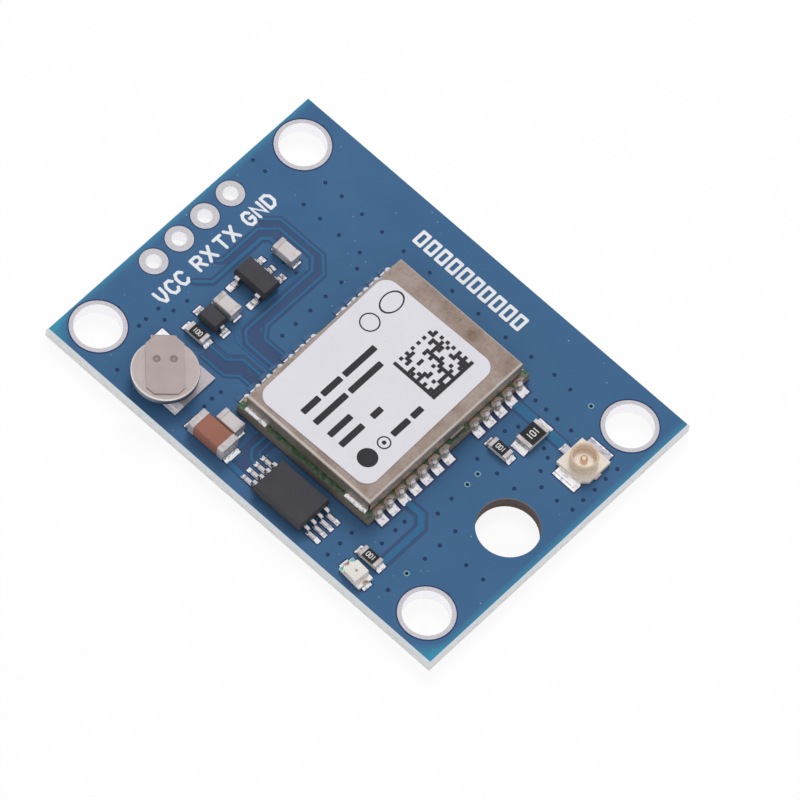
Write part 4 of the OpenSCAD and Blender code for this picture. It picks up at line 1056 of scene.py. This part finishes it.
class PrintLabel(bpy.types.Operator):
    """Label film with plain bars, rings and a patch of squares"""

    bl_idname = "receiver_board.label"
    bl_label = "Label"

    def dark(self, i, j, count):
        """Whether a square of the patch is dark: two full edges, two dashed ones and a mixed inside."""
        edge = i == count - 1 or j == 0
        dash = (i == 0 and j % 2 == 0) or (j == count - 1 and i % 2 == 1)
        mixed = (7 * i * i + 11 * j + 5 * i * j + j * j * j) % 13 < 6
        return edge or dash or (0 < i and j < count - 1 and mixed)

    def patch(self, sheet):
        x_low, x_high, y_low, y_high, count = PATCH
        wide, tall = (x_high - x_low) / count, (y_high - y_low) / count
        inset = 0.005
        for i in range(count):
            for j in range(count):
                if self.dark(i, j, count):
                    left, right = x_low + i * wide + inset, x_low + (i + 1) * wide - inset
                    front, back = y_low + j * tall + inset, y_low + (j + 1) * tall - inset
                    sheet.field(box_outline(left, right, front, back, 0.02, 1))

    def execute(self, context):
        look = context.scene.receiver_look
        film = matt_finish("label_film", look.label, 0.93, 0.5, size=0.2, cloud=3.0)
        dress("receiver_label", film)
        sheet = Sheet(LABEL_TOP, look.ink_rise / MM)
        for bar in LABEL_BARS:
            sheet.field(box_outline(*bar, BAR_CORNER))
        for x, y, radius, stretch in LABEL_RINGS:
            radii = (radius + RING_STROKE / 2, radius - RING_STROKE / 2)
            outer, inner = (circle(x, y, r, 40, stretch) for r in radii)
            sheet.band(outer, inner)
        for x, y, radius in LABEL_DOTS:
            sheet.field(circle(x, y, radius, 36))
        self.patch(sheet)
        ink = matt_finish("label_ink", look.ink, 0.7, 0.5, size=0.05)
        sheet.piece("label_marks", ink, "resistor_coat")
        return {"FINISHED"}


class DressChips(bpy.types.Operator):
    """Moulded bodies, leads and solder of the regulator, the diode and the memory chip"""

    bl_idname = "receiver_board.chips"
    bl_label = "Moulded chips"

    def execute(self, context):
        look = context.scene.part_look
        mould = matt_finish("mould_black", look.mould, 0.7, 0.5, size=0.07, depth=0.006)
        lead = metal_finish("lead_tin", look.lead, 0.75, 0.28, size=0.15)
        solder = solder_finish("chip_solder", look.solder, look.solder_dark_reflection)
        for part in ("regulator", "diode", "memory"):
            dress(part + "_body", mould, 0.05)
            dress(part + "_leads", lead, 0.02)
            dress(part + "_solder", solder)
        return {"FINISHED"}


class DressPassives(bpy.types.Operator):
    """Chip resistors with their numbers, and chip capacitors"""

    bl_idname = "receiver_board.passives"
    bl_label = "Chip parts"

    def number(self, node, text, turn, tall):
        """A number of noughts and ones across the top of a resistor's coat."""
        x, y, _ = middle(node)
        sheet = Sheet(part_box(node)[1][2] / MM, DIGIT_RISE)
        wide, stroke = tall * 0.5, tall * 0.17
        for i, digit in enumerate(text):
            centre = (i - (len(text) - 1) / 2) * wide * 1.45
            if digit == "0":
                left, right = centre - wide / 2, centre + wide / 2
                nought = box_outline(left, right, -tall / 2, tall / 2, wide * 0.35)
                sheet.loop(placed(nought, turn, x, y), stroke)
            else:
                sheet.line(placed([(centre, -tall / 2), (centre, tall / 2)], turn, x, y), stroke)
        return sheet

    def execute(self, context):
        look = context.scene.part_look
        tin = metal_finish("end_tin", look.end_cap, 0.5, 0.4, size=0.14, depth=0.02, cloud=0.6, metal=0.45)
        coat = matt_finish("resistor_coat", look.coat, 0.7, 0.35, size=0.1)
        pale = matt_finish("resistor_ceramic", look.resistor, 0.85, 0.5)
        white = matt_finish("resistor_digit", look.digit, 0.8, 0.5, size=0.05)
        for part, (text, turn, tall) in RESISTOR_NUMBERS.items():
            dress(part + "_resistor_body", pale)
            dress(part + "_resistor_coat", coat)
            dress(part + "_resistor_ends", tin, 0.02)
            sheet = self.number(part + "_resistor_coat", text, turn, tall)
            sheet.piece(part + "_resistor_number", white, "resistor_ceramic")
        grey = matt_finish("grey_ceramic", look.grey_ceramic, 0.88, 0.42, size=0.08)
        brown = matt_finish("brown_ceramic", look.brown_ceramic, 0.8, 0.4, size=0.08)
        for part in ("output", "input", "bulk", "receiver"):
            dress(part + "_capacitor_body", brown if part == "bulk" else grey)
            dress(part + "_capacitor_ends", tin, 0.06)
        dress("chip_solder", solder_finish("pad_solder", look.solder, look.solder_dark_reflection))
        return {"FINISHED"}


class DressLamp(bpy.types.Operator):
    """Lamp with its resin, contacts and green corner marks"""

    bl_idname = "receiver_board.lamp"
    bl_label = "Lamp"

    def execute(self, context):
        look = context.scene.part_look
        x, y, _ = middle("lamp_base")
        dress("lamp_base", matt_finish("lamp_white", look.lamp, 0.9, 0.45))
        dress("lamp_contacts", metal_finish("lamp_gold", look.lamp_metal, 0.8, 0.3))
        dress("lamp_lens", resin_finish(look, x, y), 0.06)
        dress("lamp_chip", metal_finish("lamp_crystal", look.lamp_metal, 0.5, 0.3), 0.01)
        sheet = Sheet(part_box("lamp_base")[1][2] / MM, MARK_RISE)
        turn, end, reach, inner, outer = math.radians(-4.5), -0.96, 0.3, 0.2, 0.6
        for side in (-1, 1):
            corner = [(end, side * inner), (end + reach, side * outer), (end, side * outer)]
            sheet.field(placed(corner, turn, x, y))
        sheet.piece("lamp_marks", matt_finish("lamp_mark", look.lamp_mark, 0.8, 0.4), "lamp_resin")
        return {"FINISHED"}


class DressCell(bpy.types.Operator):
    """Backup cell, its welded tabs and its solder"""

    bl_idname = "receiver_board.cell"
    bl_label = "Backup cell"

    def execute(self, context):
        look = context.scene.power_look
        plate = plate_finish(look)
        dress("cell_top_tab", tab_finish(look))
        dress("cell_can", can_finish(look), 0.06)
        dress("cell_cap", plate)
        dress("cell_bottom_tab", plate)
        dress("cell_seal", matt_finish("cell_seal", look.cell_seal, 0.8, 0.5))
        dull = context.scene.part_look.solder
        # Painted light: the cell's solder takes the lit solder colour
        dress("cell_solder", solder_finish("cell_solder", look.lit_solder, dull, metal=0.2))
        return {"FINISHED"}


class DressSocket(bpy.types.Operator):
    """Aerial socket with its plated ring, feet, tongue and pin"""

    bl_idname = "receiver_board.socket"
    bl_label = "Aerial socket"

    def execute(self, context):
        look = context.scene.power_look
        dull = context.scene.part_look.solder_dark_reflection
        x, y, _ = middle("coax_base")
        dress("coax_base", socket_finish(look, x, y), 0.04)
        dress("coax_shell", shell_finish(look, dull, x, y))
        dress("coax_pin", pin_finish(look, x))
        # Painted light: the socket's solder takes the lit solder colour
        dress("coax_solder", solder_finish("coax_solder", look.lit_solder, dull))
        return {"FINISHED"}


class SetStage(bpy.types.Operator):
    """Camera, soft light, sky and plain floor"""

    bl_idname = "receiver_board.stage"
    bl_label = "Stage"

    def seen(self, nodes):
        """1 for the camera's own rays, and for rays that a glossy or clear surface sends on."""
        kinds = ("Is Camera Ray", "Is Glossy Ray", "Is Transmission Ray")
        camera, glossy, clear = (nodes.add("ShaderNodeLightPath", output=kind) for kind in kinds)
        return camera.largest(glossy).largest(clear)

    def camera(self, context, look):
        back = Vector((
            math.sin(look.azimuth) * math.cos(look.elevation),
            -math.cos(look.azimuth) * math.cos(look.elevation),
            math.sin(look.elevation),
        ))
        level = Vector((math.cos(look.azimuth), math.sin(look.azimuth), 0.0))
        right = Matrix.Rotation(look.roll, 3, back) @ level
        turn = Matrix((right, back.cross(right), back)).transposed().to_quaternion()
        lens = bpy.data.cameras.new("camera")
        lens.lens = look.lens
        lens.sensor_width = SENSOR_WIDTH
        lens.clip_start = 0.01
        lens.clip_end = 10.0
        camera = bpy.data.objects.new("camera", lens)
        camera.matrix_world = Matrix.LocRotScale(Vector(look.target) + back * look.distance, turn, None)
        context.scene.collection.objects.link(camera)
        context.scene.camera = camera

    def light(self, context, name, place, size, power):
        lamp = bpy.data.lights.new(name, "AREA")
        lamp.shape = "DISK"
        lamp.size = size
        lamp.energy = power
        piece = bpy.data.objects.new(name, lamp)
        piece.location = place
        piece.rotation_euler = Vector(place).to_track_quat("Z", "Y").to_euler()
        piece.visible_glossy = False
        context.scene.collection.objects.link(piece)

    def sky(self, context, look):
        world = bpy.data.worlds.new("sky")
        world.use_nodes = True
        context.scene.world = world
        nodes = Nodes(world.node_tree)
        strength = look.sky + self.seen(nodes) * (1.0 - look.sky)
        glow = nodes.add("ShaderNodeBackground", None, {"Color": (1.0, 1.0, 1.0), "Strength": strength})
        nodes.add("ShaderNodeOutputWorld", None, {"Surface": glow})

    def floor(self, context, look):
        """A pale floor just under the board that shows almost as plain white."""
        half, drop = 1.5, 0.02 * MM
        corners = [(-half, -half, 0), (half, -half, 0), (half, half, 0), (-half, half, 0)]
        mesh = bpy.data.meshes.new("floor")
        mesh.from_pydata(corners, [], [(0, 1, 2, 3)])
        floor = bpy.data.objects.new("floor", mesh)
        floor.location.z = -drop
        context.scene.collection.objects.link(floor)
        material = bpy.data.materials.new("floor_white")
        material.use_nodes = True
        paint = Nodes(material.node_tree)
        matt = paint.add("ShaderNodeBsdfDiffuse", None, {"Color": look.floor})
        white = paint.add("ShaderNodeEmission", None, {"Color": (1.0, 1.0, 1.0), "Strength": 1.0})
        share = self.seen(paint) * look.floor_glow
        mixed = paint.add("ShaderNodeMixShader", None, {0: share, 1: matt, 2: white})
        paint.add("ShaderNodeOutputMaterial", None, {"Surface": mixed})
        mesh.materials.append(material)

    def execute(self, context):
        look = context.scene.stage_look
        context.scene.view_settings.view_transform = "Standard"
        self.camera(context, look)
        self.light(context, "key_light", place=(-0.28, 0.36, 0.5), size=0.3, power=look.key_power)
        self.light(context, "fill_light", place=(0.3, -0.4, 0.5), size=0.4, power=look.fill_power)
        self.sky(context, look)
        self.floor(context, look)
        return {"FINISHED"}


class ReceiverBoardPanel(bpy.types.Panel):
    """Steps that dress the board"""

    bl_idname = "VIEW3D_PT_receiver_board"
    bl_label = "Receiver board"
    bl_space_type = "VIEW_3D"
    bl_region_type = "UI"
    bl_category = "Receiver board"

    def draw(self, context):
        for operator in OPERATORS:
            self.layout.operator(operator.bl_idname)


LOOKS = {
    "board_look": BoardLook,
    "receiver_look": ReceiverLook,
    "part_look": PartLook,
    "power_look": PowerLook,
    "stage_look": StageLook,
}
OPERATORS = [
    DressBoard, LayCopper, PrintBoard, DressReceiver, PrintLabel, DressChips, DressPassives, DressLamp,
    DressCell, DressSocket, SetStage,
]


def register():
    for cls in (*LOOKS.values(), *OPERATORS, ReceiverBoardPanel):
        bpy.utils.register_class(cls)
    for name, look in LOOKS.items():
        setattr(bpy.types.Scene, name, PointerProperty(type=look))


def unregister():
    for name in LOOKS:
        delattr(bpy.types.Scene, name)
    for cls in (ReceiverBoardPanel, *OPERATORS[::-1], *LOOKS.values()):
        bpy.utils.unregister_class(cls)


def main():
    register()
    bpy.ops.receiver_board.laminate()
    bpy.ops.receiver_board.copper()
    bpy.ops.receiver_board.print()
    bpy.ops.receiver_board.receiver()
    bpy.ops.receiver_board.label()
    bpy.ops.receiver_board.chips()
    bpy.ops.receiver_board.passives()
    bpy.ops.receiver_board.lamp()
    bpy.ops.receiver_board.cell()
    bpy.ops.receiver_board.socket()
    bpy.ops.receiver_board.stage()


if __name__ == "__main__":
    main()
